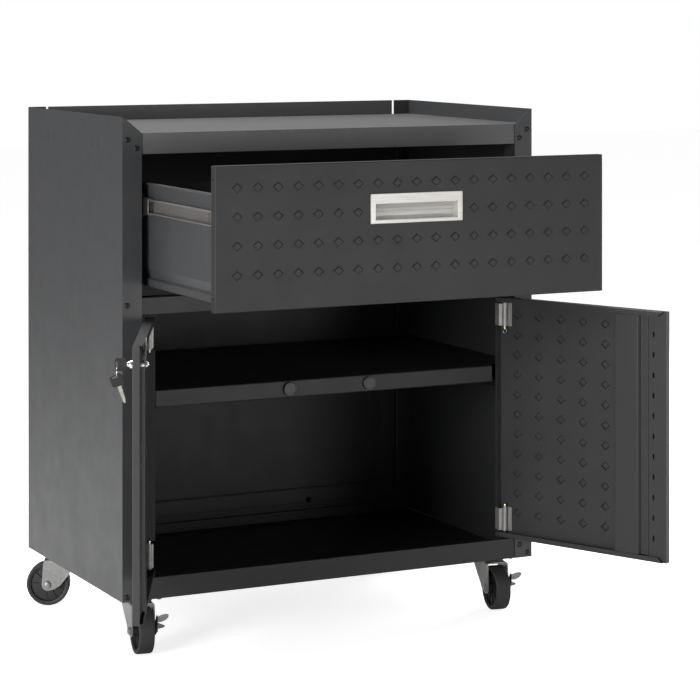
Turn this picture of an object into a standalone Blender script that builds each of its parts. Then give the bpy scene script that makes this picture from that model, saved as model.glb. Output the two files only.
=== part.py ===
"""Wheeled sheet-steel tool cabinet: one wide drawer over a two-door cupboard, on four casters.

Metres, +Z up. The origin is the centre of the worktop's upper face, +X right and +Y to the back.
Lengths in the script are millimetres in the cabinet's own frame: x from the outer face of the
left side, y back from the front face of the stiles, z up from the underside of the body. A Frame
turns them into metres. Drawer and doors are drawn closed, and their empties hold them pulled out
and open. Pieces of the right side are drawn as on the left and mirrored.
Cutters run a few millimetres past the faces they have to clear.
"""
import itertools
import math
from collections import namedtuple

import bmesh
import bpy
from mathutils import Matrix, Vector

# ---------------------------------------------------------------- driving dimensions (mm, degrees)
BODY_W, BODY_D, BODY_H = 770.0, 464.0, 788.5
TOP_Z = 762.0                     # worktop surface; the sides stand above it as a rim
SHEET = 1.2                       # body sheet thickness
GAP = 0.3                         # assembly gap between touching pieces
STILE_W = 34.0
RETURN_D = 36.0                   # fold behind the stile's inner edge
REAR_FLANGE_W = 33.0
TOP_RAIL_Z0 = 727.5
MID_RAIL_Z0, MID_RAIL_Z1 = 465.5, 493.0
BOTTOM_RAIL_Z1 = 35.0
REAR_LIP_Z1 = 33.0
UPSTAND_X0 = 37.0                 # side end of the worktop's rear upstand

DRAWER_OUT = 293.0                # how far the drawer stands pulled out
DRAWER_X0, DRAWER_Z0, DRAWER_Z1 = 38.0, 499.5, 724.4
DRAWER_FRONT_T = 18.0
FRONT_LIP = 13.0                  # width of the lip round the drawer front's open rear
TRAY_Z0, TRAY_Z1 = 510.5, 681.0
TRAY_Y1 = 425.0
TRAY_END_X = 49.5                 # side edge of the tray's front and rear walls
TRAY_END_DROP = 12.0              # how far those walls stop below the tray's rim
HANDLE_X0, HANDLE_X1, HANDLE_Z0, HANDLE_Z1 = 302.5, 467.5, 626.0, 673.7

SLIDE_Z = 642.5                   # centre height of the ball-bearing slides
SLIDE_Y0, SLIDE_LEN = 19.0, 400.0
SLIDE_RATIO = 0.5                 # the ball cage travels half as far as the drawer
CAGE_Y0, CAGE_LEN = 128.5, 178.0
BRACKET_T = 1.6
BRACKET_YS = (60, 398)

DOOR_X0, DOOR_X1 = 36.5, 383.5    # hinge edge and free edge
DOOR_Z0, DOOR_Z1 = 38.2, 458.4
DOOR_T = 16.5
LIP_FREE, LIP_END = 35.3, 9.0     # widths of the rear lips at the free edge and at the ends
EDGE_T, CORNER = 11.0, 6.0        # shallower depth of the free edge; size of its open corners
PIN_X, PIN_Y = 50.0, 7.6          # door hinge pins, closed door frame
OPEN_LEFT, OPEN_RIGHT = 114.9, 114.3
HINGE_Z = (48.0, 407.0)
HINGE_H = 42.0
LEAF_T = 1.6
PIN_R, KNUCKLE_BORE_R, KNUCKLE_R = 2.0, 2.1, 3.9

LOCK_X, LOCK_Z = 349.5, 426.4
CAM_REACH, CAM_TILT = 43.5, 33.0  # upright it hooks behind the middle rail
HOLE_Y, HOLE_DROP, HOLE_R = -25.4, 5.4, 2.0     # ring hole in the key
HOLE_CORNER_R = 1.9
RING_R, RING_WIRE = 6.4, 0.7
SPARE_TILT = 21.5

SHELF_X0 = 4.0
SHELF_Z0, SHELF_Z1 = 308.7, 337.6
SHELF_Y0, SHELF_Y1 = 22.0, 451.0
SHELF_NOTCH_X, SHELF_NOTCH_Y = 68.0, 46.0       # inner corner of the front notches
MAGNET_X = 309.8
MAGNET_HALF_T = 2.15

WHEEL_R, WHEEL_W, AXLE_R = 38.0, 26.0, 4.0
KINGPIN_R = 4.0
FLOOR_Z = -90.0
WHEEL_Z = FLOOR_Z + WHEEL_R
TRAIL = 27.0
# swivel axis x, y and the direction in which the wheel trails
CASTERS = {
    "front_left": (45.0, 43.2, -98.5),
    "front_right": (713.0, 45.6, -98.5),
    "rear_left": (41.0, 391.0, 153.5),
    "rear_right": (729.0, 391.0, 26.5),
}

# ---------------------------------------------------------------- finishes
Finish = namedtuple("Finish", "colour roughness metallic")
CHARCOAL = Finish(colour=(0.045, 0.043, 0.044), roughness=0.45, metallic=0.1)
GREY = Finish(colour=(0.085, 0.087, 0.09), roughness=0.5, metallic=0.1)
DARK = Finish(colour=(0.02, 0.02, 0.021), roughness=0.55, metallic=0.0)
ZINC = Finish(colour=(0.42, 0.41, 0.39), roughness=0.35, metallic=0.9)
STEEL = Finish(colour=(0.33, 0.32, 0.30), roughness=0.38, metallic=0.9)
CHROME = Finish(colour=(0.75, 0.75, 0.75), roughness=0.12, metallic=1.0)
SATIN = Finish(colour=(0.45, 0.43, 0.41), roughness=0.3, metallic=0.9)
BLACK = Finish(colour=(0.02, 0.02, 0.02), roughness=0.6, metallic=0.0)
RUBBER = Finish(colour=(0.018, 0.018, 0.019), roughness=0.75, metallic=0.0)

# ---------------------------------------------------------------- scene set-up
for old in list(bpy.data.objects):
    bpy.data.objects.remove(old, do_unlink=True)
PARTS = bpy.data.collections.new("wheeled_tool_cabinet")
CUTTERS = bpy.data.collections.new("cutters")
bpy.context.scene.collection.children.link(PARTS)
bpy.context.scene.collection.children.link(CUTTERS)


class Frame:
    """Where pieces are drawn: origin is the millimetre point that falls on the parent empty."""

    def __init__(self, origin=(BODY_W / 2, BODY_D / 2, TOP_Z), empty=None, mirror=False):
        self.origin = Vector(origin)
        self.empty = empty
        self.mirror = mirror

    def point(self, x, y, z):
        if self.mirror:
            x = BODY_W - x
        return Vector((x - self.origin.x, y - self.origin.y, z - self.origin.z)) / 1000


def joint(name, origin, at, turn=(0, 0, 0), parent=None, mirror=False):
    """A Frame on a new empty, at millimetres from its parent's empty and turned in degrees."""
    empty = bpy.data.objects.new(name, None)
    empty.empty_display_size = 0.02
    PARTS.objects.link(empty)
    empty.location = Vector(at) / 1000
    empty.rotation_euler = [math.radians(angle) for angle in turn]
    if parent is not None:
        empty.parent = parent.empty
    return Frame(origin, empty, mirror)


def world(x, y, z):
    """Cabinet millimetres to the place, in millimetres, of an empty without a parent."""
    return (x - BODY_W / 2, y - BODY_D / 2, z - TOP_Z)


ROOT = Frame()
SIDE_FRAMES = {"left": ROOT, "right": Frame(mirror=True)}


# ---------------------------------------------------------------- solids
def paint(ob, look):
    material = bpy.data.materials.new(ob.name + "_finish")
    material.use_nodes = True
    shader = material.node_tree.nodes["Principled BSDF"]
    shader.inputs["Base Color"].default_value = (*look.colour, 1)
    shader.inputs["Roughness"].default_value = look.roughness
    shader.inputs["Metallic"].default_value = look.metallic
    ob.data.materials.append(material)


def put(name, mesh, frame, look, centre=None):
    """Make an object of a mesh, its origin at centre if given. Without a look it is a cutter."""
    if centre is not None:
        mesh.transform(Matrix.Translation(-centre))
    ob = bpy.data.objects.new(name, mesh)
    if centre is not None:
        ob.location = centre
    if look is None:
        CUTTERS.objects.link(ob)
        ob.hide_render = True
        ob.display_type = "WIRE"
    else:
        PARTS.objects.link(ob)
        paint(ob, look)
    ob.parent = frame.empty
    return ob


def to_mesh(name, bm):
    mesh = bpy.data.meshes.new(name)
    bm.to_mesh(mesh)
    bm.free()
    return mesh


def in_space(plane, u, v, across):
    """A point u, v of a plane, moved across it, as x, y, z."""
    return {"XY": (u, v, across), "YZ": (across, u, v), "XZ": (u, across, v)}[plane]


# turns +Z to the normal of the plane that a round piece stands on
PLANE_TURN = {"XZ": Matrix.Rotation(-math.pi / 2, 4, "X"), "XY": Matrix.Identity(4)}


def box(name, x0, x1, y0, y1, z0, z1, frame=ROOT, look=None):
    low, high = frame.point(x0, y0, z0), frame.point(x1, y1, z1)
    bm = bmesh.new()
    bmesh.ops.create_cube(bm, size=1.0)
    bmesh.ops.scale(bm, vec=[abs(high[i] - low[i]) for i in range(3)], verts=bm.verts)
    ob = put(name, to_mesh(name, bm), frame, look)
    ob.location = (low + high) / 2
    return ob


def sheet(name, points, plane, start, end, frame=ROOT, look=None, thickness=SHEET, offset=-1.0):
    """A folded sheet: an open line in a plane, drawn across it from start to end.

    Solidify thickens it to the line's right-hand side, or to both sides with offset 0.
    """
    line = [frame.point(*in_space(plane, u, v, start)) for u, v in points]
    far = frame.point(*in_space(plane, *points[0], end)) - line[0]
    bm = bmesh.new()
    verts = [bm.verts.new(p) for p in line]
    edges = [bm.edges.new(pair) for pair in zip(verts, verts[1:])]
    out = bmesh.ops.extrude_edge_only(bm, edges=edges)
    new_verts = [g for g in out["geom"] if isinstance(g, bmesh.types.BMVert)]
    bmesh.ops.translate(bm, vec=far, verts=new_verts)
    bm.normal_update()
    # faces point to the left-hand side of the line as it was given
    du, dv = points[1][0] - points[0][0], points[1][1] - points[0][1]
    left = Vector(in_space(plane, -dv, du, 0))
    if frame.mirror:
        left.x = -left.x
    bm.faces.ensure_lookup_table()
    middle = (line[0] + line[1]) / 2 + far / 2
    first = min(bm.faces, key=lambda f: (f.calc_center_median() - middle).length)
    if first.normal.dot(left) < 0:
        bmesh.ops.reverse_faces(bm, faces=bm.faces)
    ob = put(name, to_mesh(name, bm), frame, look, centre=line[0])
    solidify = ob.modifiers.new("thickness", "SOLIDIFY")
    solidify.thickness = thickness / 1000
    solidify.offset = offset
    solidify.use_even_offset = True
    return ob


def outline(name, points, plane, start, end, frame=ROOT, look=None):
    """A flat closed outline, filled and extruded from start to end across its plane."""
    curve = bpy.data.curves.new(name + "_outline", "CURVE")
    curve.dimensions = "2D"
    curve.fill_mode = "BOTH"
    curve.extrude = abs(end - start) / 2000
    spline = curve.splines.new("POLY")
    spline.points.add(len(points) - 1)
    for p, (u, v) in zip(spline.points, points):
        p.co = (u / 1000, v / 1000, 0, 1)
    spline.use_cyclic_u = True
    filled = bpy.data.objects.new(name + "_outline", curve)
    PARTS.objects.link(filled)
    bpy.context.view_layer.update()
    depsgraph = bpy.context.evaluated_depsgraph_get()
    mesh = bpy.data.meshes.new_from_object(filled.evaluated_get(depsgraph))
    bpy.data.objects.remove(filled, do_unlink=True)
    middle = (start + end) / 2
    for vert in mesh.vertices:
        u, v, across = vert.co.x * 1000, vert.co.y * 1000, vert.co.z * 1000
        vert.co = frame.point(*in_space(plane, u, v, middle + across))
    bm = bmesh.new()
    bm.from_mesh(mesh)
    bmesh.ops.remove_doubles(bm, verts=bm.verts, dist=1e-6)
    bmesh.ops.recalc_face_normals(bm, faces=bm.faces)
    bm.to_mesh(mesh)
    bm.free()
    mesh.name = name
    return put(name, mesh, frame, look, centre=frame.point(*in_space(plane, *points[0], middle)))


def rod(name, u, v, plane, start, end, radius, frame=ROOT, look=None, segments=24):
    """A round bar at u, v of a plane, running across it from start to end."""
    bm = bmesh.new()
    bmesh.ops.create_cone(bm, cap_ends=True, segments=segments, radius1=radius / 1000,
                          radius2=radius / 1000, depth=abs(end - start) / 1000)
    bmesh.ops.transform(bm, matrix=PLANE_TURN[plane], verts=bm.verts)
    mesh = to_mesh(name, bm)
    ob = put(name, mesh, frame, look)
    if look is not None:
        mesh.shade_smooth()
        mesh.set_sharp_from_angle(angle=math.radians(35))
    ob.location = frame.point(*in_space(plane, u, v, (start + end) / 2))
    return ob


def turned(name, profile, x, y, z, plane, frame, look, steps, closed=False):
    """A Screw sweep of (radius, height) pairs; height runs across the plane from x, y, z."""
    bm = bmesh.new()
    verts = [bm.verts.new((radius / 1000, 0, height / 1000)) for radius, height in profile]
    for pair in zip(verts, verts[1:]):
        bm.edges.new(pair)
    if closed:
        bm.edges.new((verts[-1], verts[0]))
    ob = put(name, to_mesh(name, bm), frame, look)
    ob.location = frame.point(x, y, z)
    ob.rotation_euler = PLANE_TURN[plane].to_euler()
    screw = ob.modifiers.new("turn", "SCREW")
    screw.steps = screw.render_steps = steps
    screw.use_merge_vertices = True
    screw.merge_threshold = 0.00001
    screw.use_smooth_shade = False
    return ob


# ---------------------------------------------------------------- booleans with numbered helpers
HELPER_NUMBERS = itertools.count(1)


def combine(kind, operation, target, make, *args, **options):
    """Build a helper solid with make(name, *args) and apply it to the target."""
    helper = make(f"{kind}_{next(HELPER_NUMBERS):03d}", *args, **options)
    modifier = target.modifiers.new(operation.lower() + "_" + helper.name, "BOOLEAN")
    modifier.operation = operation
    modifier.object = helper
    modifier.solver = "EXACT"


def cut(target, make, *args, **options):
    combine("cut", "DIFFERENCE", target, make, *args, **options)


def add(target, make, *args, **options):
    combine("add", "UNION", target, make, *args, **options)


def keep(target, make, *args, **options):
    combine("keep", "INTERSECT", target, make, *args, **options)


# ---------------------------------------------------------------- outline helpers
def both_sides(half):
    """Half an outline, completed by its mirror image in the second coordinate."""
    return half + [(u, -v) for u, v in reversed(half)]


def tilted(points, u0, v0, degrees):
    """Points turned anticlockwise about zero, then moved to u0, v0."""
    cos, sin = math.cos(math.radians(degrees)), math.sin(math.radians(degrees))
    return [(u0 + u * cos - v * sin, v0 + u * sin + v * cos) for u, v in points]


def rounded(u0, u1, v0, v1, radius, steps=4):
    """A rectangle with rounded corners."""
    points = []
    corners = ((u1 - radius, v1 - radius, 0), (u0 + radius, v1 - radius, 90),
               (u0 + radius, v0 + radius, 180), (u1 - radius, v0 + radius, 270))
    for u, v, first_angle in corners:
        for i in range(steps + 1):
            angle = math.radians(first_angle + 90 * i / steps)
            points.append((u + radius * math.cos(angle), v + radius * math.sin(angle)))
    return points


# ---------------------------------------------------------------- body
IN0, IN1 = SHEET + GAP, BODY_W - SHEET - GAP    # between the side panels
FACE_Y = SHEET + GAP                            # rails lie behind the stiles
BACK_Y = BODY_D - SHEET - GAP - 0.2             # rear face of the back panel
PAN_Y1 = BACK_Y - SHEET - GAP                   # the pan's rear wall is ahead of the back panel


def side_panel(side):
    frame = SIDE_FRAMES[side]
    panel = sheet(f"side_panel_{side}",
                  [(STILE_W, RETURN_D), (STILE_W, 0), (0, 0), (0, BODY_D),
                   (REAR_FLANGE_W, BODY_D)], "XY", 0, BODY_H, frame, GREY)
    # the stile's top end slopes from the outer edge down to the worktop
    slope_x0, slope_x1 = SHEET + 0.1, STILE_W + 0.6
    cut(panel, outline, [(slope_x0, BODY_H), (slope_x1, TOP_Z - 0.5), (slope_x1, BODY_H + 10),
                         (slope_x0, BODY_H + 10)], "XZ", -5, SHEET + 0.1, frame)
    # the stile's return is cut away where the rails pass behind the stile
    for z0, z1 in ((-5, BOTTOM_RAIL_Z1 + GAP), (MID_RAIL_Z0 - GAP, MID_RAIL_Z1 + GAP),
                   (TOP_RAIL_Z0 - GAP, BODY_H + 5)):
        cut(panel, box, STILE_W - SHEET - 0.6, STILE_W + 2, SHEET + 0.05, RETURN_D + 4,
            z0, z1, frame)


def worktop():
    """Top rail, worktop and rear upstand in one folded sheet."""
    rear_y = BODY_D - SHEET
    top = sheet("worktop", [(20, TOP_RAIL_Z0), (FACE_Y, TOP_RAIL_Z0), (FACE_Y, TOP_Z),
                            (rear_y, TOP_Z), (rear_y, BODY_H)], "YZ", IN0, IN1, look=GREY)
    for x0, x1 in ((-5, UPSTAND_X0), (BODY_W - UPSTAND_X0, BODY_W + 5)):
        cut(top, box, x0, x1, rear_y - GAP, BODY_D + 5, TOP_Z - 10, BODY_H + 10)


def rails_and_back():
    sheet("mid_rail", [(14, MID_RAIL_Z0), (FACE_Y, MID_RAIL_Z0), (FACE_Y, MID_RAIL_Z1),
                       (30, MID_RAIL_Z1)], "YZ", IN0, IN1, look=CHARCOAL)
    sheet("bottom_pan", [(PAN_Y1, REAR_LIP_Z1), (PAN_Y1, 0), (FACE_Y, 0),
                         (FACE_Y, BOTTOM_RAIL_Z1), (12, BOTTOM_RAIL_Z1)],
          "YZ", IN0, IN1, look=CHARCOAL)
    box("back_panel", IN0, IN1, BACK_Y - SHEET, BACK_Y, 1.0, TOP_Z - SHEET - GAP, look=DARK)


for side in SIDE_FRAMES:
    side_panel(side)
worktop()
rails_and_back()


# ---------------------------------------------------------------- shelf and its frames
# plan (x, y) of the upright channel at the rear end of each shelf frame
UPRIGHT = [(18.5, 460.6), (18.5, 453.0), (32.0, 453.0), (32.0, 460.6)]


def shelf_frame(side):
    """An angle under the shelf's side edge, joined to an upright channel at the back."""
    frame = SIDE_FRAMES[side]
    ledge_z = SHELF_Z0 - GAP - 0.1
    ledge = sheet(f"shelf_frame_{side}",
                  [(45, ledge_z), (IN0 + GAP, ledge_z), (IN0 + GAP, SHELF_Z0 - 28)],
                  "XZ", 44, 457, frame, DARK, offset=1.0)
    add(ledge, sheet, UPRIGHT, "XY", REAR_LIP_Z1 + 0.5, 700, frame)


def shelf():
    """A tray open at the bottom, notched at its two front corners."""
    x1 = BODY_W - SHELF_X0
    board = box("shelf", SHELF_X0, x1, SHELF_Y0, SHELF_Y1, SHELF_Z0, SHELF_Z1, look=CHARCOAL)
    cut(board, box, SHELF_X0 + SHEET, x1 - SHEET, SHELF_Y0 + SHEET, SHELF_Y1 - SHEET,
        SHELF_Z0 - 10, SHELF_Z1 - SHEET)
    for notch_x0, notch_x1 in ((-5, SHELF_NOTCH_X), (BODY_W - SHELF_NOTCH_X, BODY_W + 5)):
        cut(board, box, notch_x0, notch_x1, 10, SHELF_NOTCH_Y, SHELF_Z0 - 5, SHELF_Z1 + 5)


def magnet(side, x):
    """A disc on the shelf's front edge."""
    turned(f"magnet_{side}", [(0, MAGNET_HALF_T), (11.4, MAGNET_HALF_T), (12, 1.5),
                              (12, -MAGNET_HALF_T), (0, -MAGNET_HALF_T)],
           x, SHELF_Y0 - GAP - MAGNET_HALF_T, (SHELF_Z0 + SHELF_Z1) / 2, "XZ", ROOT, SATIN, 28)


for side in SIDE_FRAMES:
    shelf_frame(side)
shelf()
magnet("left", MAGNET_X)
magnet("right", BODY_W - MAGNET_X)

# ---------------------------------------------------------------- drawer and its slides
SLIDE_ORIGIN = (BODY_W / 2, 0, SLIDE_Z)
DRAWER = joint("drawer_origin", SLIDE_ORIGIN, world(BODY_W / 2, -DRAWER_OUT, SLIDE_Z))
DRAWER_X1 = BODY_W - DRAWER_X0
# left half (x, z) of the tray's cross-section: rim, side wall with a bead, bottom corner
TRAY_HALF = [(46.6, TRAY_Z1 - 4.3), (46.6, TRAY_Z1 - 0.6), (49.6, TRAY_Z1 - 0.6), (49.6, 541),
             (54.0, 527), (54.0, 524.5), (49.6, 523), (49.6, TRAY_Z0 + 0.6)]


def drawer_tray():
    section = TRAY_HALF + [(BODY_W - x, z) for x, z in reversed(TRAY_HALF)]
    tray_y0 = DRAWER_FRONT_T + GAP
    tray = sheet("drawer_tray", section, "XZ", tray_y0, TRAY_Y1, DRAWER, GREY, offset=0.0)
    for y0, y1 in ((TRAY_Y1 - SHEET - 0.3, TRAY_Y1 - 0.3),
                   (tray_y0 + 0.3, tray_y0 + 0.3 + SHEET)):
        add(tray, box, TRAY_END_X, BODY_W - TRAY_END_X, y0, y1,
            TRAY_Z0 + 0.5, TRAY_Z1 - TRAY_END_DROP, DRAWER)


def handle_box(inset, y0, y1):
    """Box extents inside the handle opening of the drawer front, inset on all four sides."""
    return (HANDLE_X0 + 6.5 + inset, HANDLE_X1 - 6.5 - inset, y0, y1,
            HANDLE_Z0 + 3.5 + inset, HANDLE_Z1 - 13 - inset)


def drawer_front():
    """A hollow panel, open at the rear inside a lip, with an opening for the handle."""
    front = box("drawer_front", DRAWER_X0, DRAWER_X1, 0, DRAWER_FRONT_T, DRAWER_Z0, DRAWER_Z1,
                DRAWER, CHARCOAL)
    for edge, y0, y1 in ((SHEET, SHEET, DRAWER_FRONT_T - SHEET),
                         (FRONT_LIP, DRAWER_FRONT_T - 4, DRAWER_FRONT_T + 4)):
        cut(front, box, DRAWER_X0 + edge, DRAWER_X1 - edge, y0, y1,
            DRAWER_Z0 + edge, DRAWER_Z1 - edge, DRAWER)
    cut(front, box, *handle_box(0, -4, 4), DRAWER)


def drawer_handle():
    """A plate with a recessed cup behind it, open to the front."""
    handle = box("drawer_handle", HANDLE_X0, HANDLE_X1, -2.3, -GAP, HANDLE_Z0, HANDLE_Z1,
                 DRAWER, SATIN)
    add(handle, box, *handle_box(0.8, -1.0, 14.5), DRAWER)
    cut(handle, box, *handle_box(2.5, -6, 13.2), DRAWER)


def slide_channel(name, flange_x, web_x, half_height, y0, length, frame, look):
    """A channel centred on SLIDE_Z; a negative half height draws it from the bottom up."""
    z0, z1 = SLIDE_Z + half_height, SLIDE_Z - half_height
    return sheet(name, [(flange_x, z0), (web_x, z0), (web_x, z1), (flange_x, z1)],
                 "XZ", y0, y0 + length, frame, look, offset=0.0)


def slide(side):
    """The outer rail on the body, the ball cage, and the inner rail on the drawer."""
    frame = SIDE_FRAMES[side]
    outer = slide_channel(f"slide_outer_{side}", 45.0, 35.9, 16.9, SLIDE_Y0, SLIDE_LEN,
                          frame, ZINC)
    # brackets to the side panel
    for y in BRACKET_YS:
        add(outer, box, IN0, 35.8, y, y + BRACKET_T, SLIDE_Z - 12, SLIDE_Z + 12, frame)
    cage = joint(f"slide_cage_{side}_origin", SLIDE_ORIGIN,
                 world(BODY_W / 2, -DRAWER_OUT * SLIDE_RATIO, SLIDE_Z), mirror=frame.mirror)
    slide_channel(f"slide_cage_{side}", 46.0, 37.9, 14.6, CAGE_Y0, CAGE_LEN, cage, BLACK)
    slide_channel(f"slide_inner_{side}", 40.2, 48.1, -11.2, DRAWER_FRONT_T + 1.5, SLIDE_LEN - 6,
                  Frame(SLIDE_ORIGIN, DRAWER.empty, frame.mirror), ZINC)


drawer_tray()
drawer_front()
drawer_handle()
for side in SIDE_FRAMES:
    slide(side)


# ---------------------------------------------------------------- doors, stiffeners and hinges
def door_joint(side, turn):
    mirror = side == "right"
    pin_x = BODY_W - PIN_X if mirror else PIN_X
    return joint(f"door_{side}_axis", (pin_x, PIN_Y, TOP_Z), world(pin_x, PIN_Y, TOP_Z),
                 turn=(0, 0, turn), mirror=mirror)


def door_panel(side, frame):
    door = box(f"door_{side}", DOOR_X0, DOOR_X1, 0, DOOR_T, DOOR_Z0, DOOR_Z1, frame, CHARCOAL)
    in_x0, in_y1 = DOOR_X0 + SHEET, DOOR_T - SHEET
    in_z = (DOOR_Z0 + SHEET, DOOR_Z1 - SHEET)
    # the hollow, shallower along the free edge
    cut(door, box, in_x0, DOOR_X1 - SHEET, SHEET, EDGE_T - SHEET, *in_z, frame)
    cut(door, box, in_x0, DOOR_X1 - LIP_FREE, EDGE_T - 4, in_y1, *in_z, frame)
    cut(door, box, DOOR_X1 - LIP_FREE - 4, DOOR_X1 + 5, EDGE_T, in_y1, *in_z, frame)
    # the open rear between the end lips, and the open corners of the free edge
    cut(door, box, in_x0, DOOR_X1 + 5, EDGE_T + 2, DOOR_T + 4,
        DOOR_Z0 + LIP_END, DOOR_Z1 - LIP_END, frame)
    cut(door, box, DOOR_X1 - CORNER, DOOR_X1 + 5, EDGE_T, DOOR_T + 4,
        DOOR_Z0 - 4, DOOR_Z1 + 4, frame)
    # slots in the hinge edge
    for z in HINGE_Z:
        cut(door, box, DOOR_X0 - 3, DOOR_X0 + 3, 8.0, DOOR_T + 3,
            z - 2.0, z + HINGE_H + 2.0, frame)
    if side == "left":
        # lock holes through the skin and the rear lip
        cut(door, rod, LOCK_X, LOCK_Z, "XZ", -3, 5, 5.9, frame)
        cut(door, box, LOCK_X - 9, LOCK_X + 6.4, EDGE_T - 4, EDGE_T + 1,
            LOCK_Z - 6.4, LOCK_Z + 6.4, frame)


def door_stiffener(side, frame):
    """An upright hat section behind the door's skin."""
    seat_y = SHEET + GAP + SHEET
    # x from the hinge edge, y
    plan = [(228, seat_y), (243, seat_y), (243, DOOR_T), (291, DOOR_T), (295, seat_y),
            (304, seat_y)]
    sheet(f"door_stiffener_{side}", [(DOOR_X0 + x, y) for x, y in plan], "XY",
          DOOR_Z0 + LIP_END + 0.6, DOOR_Z1 - LIP_END - 0.6, frame, CHARCOAL)


def cabinet_leaf(name, z0, frame):
    """The leaf on the body, carrying the middle knuckle."""
    z1 = z0 + HINGE_H
    lower, upper = z0 + HINGE_H / 3, z0 + 2 * HINGE_H / 3
    seat_y = PIN_Y + 2.8
    leaf = sheet(name, [(35.1, 42), (35.1, 27), (59, 27), (59, seat_y), (PIN_X, seat_y)],
                 "XY", z0, z1, frame, STEEL, thickness=LEAF_T, offset=0.0)
    for a, b in ((z0 - 1, lower + 0.25), (upper - 0.25, z1 + 1)):
        cut(leaf, box, PIN_X - 5, PIN_X + 5.4, PIN_Y - 6, PIN_Y + 8, a, b, frame)
    add(leaf, rod, PIN_X, PIN_Y, "XY", lower + 0.3, upper - 0.3, KNUCKLE_R, frame, segments=20)
    cut(leaf, rod, PIN_X, PIN_Y, "XY", lower - 2, upper + 2, KNUCKLE_BORE_R, frame, segments=20)


def door_leaf(name, z0, frame):
    """The leaf on the door's skin, carrying the bottom and top knuckles."""
    z1 = z0 + HINGE_H
    leaf_y = SHEET + GAP
    leaf = box(name, PIN_X - 2.5, PIN_X + 11, leaf_y, leaf_y + LEAF_T, z0, z1, frame, STEEL)
    for a, b in ((z0, z0 + HINGE_H / 3 - 0.25), (z0 + 2 * HINGE_H / 3 + 0.25, z1)):
        add(leaf, box, PIN_X - 2.2, PIN_X + 2.2, leaf_y + 0.8, PIN_Y - 2.6,
            a + 0.01, b - 0.01, frame)
        add(leaf, rod, PIN_X, PIN_Y, "XY", a + 0.02, b - 0.02, KNUCKLE_R, frame, segments=20)
    cut(leaf, rod, PIN_X, PIN_Y, "XY", z0 - 3, z1 + 3, KNUCKLE_BORE_R, frame, segments=20)


# (radius, height) from the top of the hinge
HINGE_PIN = [(0, 6.4), (2.4, 6.4), (2.9, 5.8), (2.9, 4.6), (PIN_R, 4.6),
             (PIN_R, -HINGE_H - 4), (1.2, -HINGE_H - 5), (0, -HINGE_H - 5)]

DOORS = {}
for side, turn in (("left", -OPEN_LEFT), ("right", OPEN_RIGHT)):
    DOORS[side] = door_joint(side, turn)
    door_panel(side, DOORS[side])
    door_stiffener(side, DOORS[side])
    for z0, level in zip(HINGE_Z, ("bottom", "top")):
        hinge = f"hinge_{side}_{level}"
        cabinet_leaf(f"{hinge}_cabinet_leaf", z0, SIDE_FRAMES[side])
        door_leaf(f"{hinge}_door_leaf", z0, DOORS[side])
        turned(f"{hinge}_pin", HINGE_PIN, PIN_X, PIN_Y, z0 + HINGE_H, "XY",
               SIDE_FRAMES[side], STEEL, 16)

# ---------------------------------------------------------------- lock, keys, ring, on left door
LOCK_POINT = (LOCK_X, 0, LOCK_Z)
RING_TOP = (LOCK_X, HOLE_Y, LOCK_Z - HOLE_DROP)
# (radius, height), height to the back; the stem behind the barrel carries the cam
LOCK_PLUG = [(0, 23.5), (2.1, 23.5), (2.4, 23.1), (2.4, 16.8), (4.1, 16.8), (4.1, -8.9),
             (3.7, -9.3), (0, -9.3)]
# upright cam (x, z) from the lock axis
LOCK_CAM = [(-5.5, -6), (5.5, -6), (5.5, 30), (4.5, CAM_REACH - 2), (2.5, CAM_REACH),
            (-2.5, CAM_REACH), (-4.5, CAM_REACH - 2), (-5.5, 30)]
# toothed blade (y, z) of the spare key, from the top of its ring hole
SPARE_BLADE = [(-5, -13.0), (1, -13.0), (1, -25.0), (0.1, -26.5), (0.6, -29.5), (-0.4, -31.5),
               (0.2, -34.5), (-0.6, -37.5), (-1.6, -42.0), (-4.0, -42.0), (-5.0, -40.0)]


def lock_barrel(frame):
    barrel = rod("lock_barrel", LOCK_X, LOCK_Z, "XZ", -5.9, -GAP, 6.3, frame, CHROME, 28)
    add(barrel, rod, LOCK_X, LOCK_Z, "XZ", -2.0, 16.6, 5.5, frame, segments=28)
    cut(barrel, rod, LOCK_X, LOCK_Z, "XZ", -12, 20, 4.2, frame)


def lock_plug(frame):
    plug = turned("lock_plug", LOCK_PLUG, *LOCK_POINT, "XZ", frame, CHROME, 24)
    # keyway
    cut(plug, box, LOCK_X - 1.1, LOCK_X + 1.1, -13, 9, LOCK_Z - 3.0, LOCK_Z + 3.0, frame)


def lock_cam(frame):
    cam = outline("lock_cam", tilted(LOCK_CAM, LOCK_X, LOCK_Z, CAM_TILT), "XZ", 17.1, 18.9,
                  frame, STEEL)
    cut(cam, rod, LOCK_X, LOCK_Z, "XZ", 14, 22, 2.7, frame)


def lock_key(frame):
    key = outline("lock_key", rounded(-28.6, -10.2, LOCK_Z - 10, LOCK_Z + 10, 5.0), "YZ",
                  LOCK_X - 1.5, LOCK_X + 1.5, frame, BLACK)
    add(key, box, LOCK_X - 0.8, LOCK_X + 0.8, -12.0, 7.0, LOCK_Z - 2.6, LOCK_Z + 2.6, frame)
    hole = rounded(HOLE_Y - HOLE_R, HOLE_Y + HOLE_R, LOCK_Z - HOLE_DROP - HOLE_R, LOCK_Z + 4.5,
                   HOLE_CORNER_R)
    cut(key, outline, hole, "YZ", LOCK_X - 4, LOCK_X + 4, frame)


def key_ring(frame):
    angles = [-math.tau * i / 8 for i in range(8)]
    wire = [(RING_R + RING_WIRE * math.cos(a), RING_WIRE * math.sin(a)) for a in angles]
    x, y, z = RING_TOP
    turned("key_ring", wire, x, y, z - RING_R, "XZ", frame, CHROME, 24, closed=True)


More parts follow.
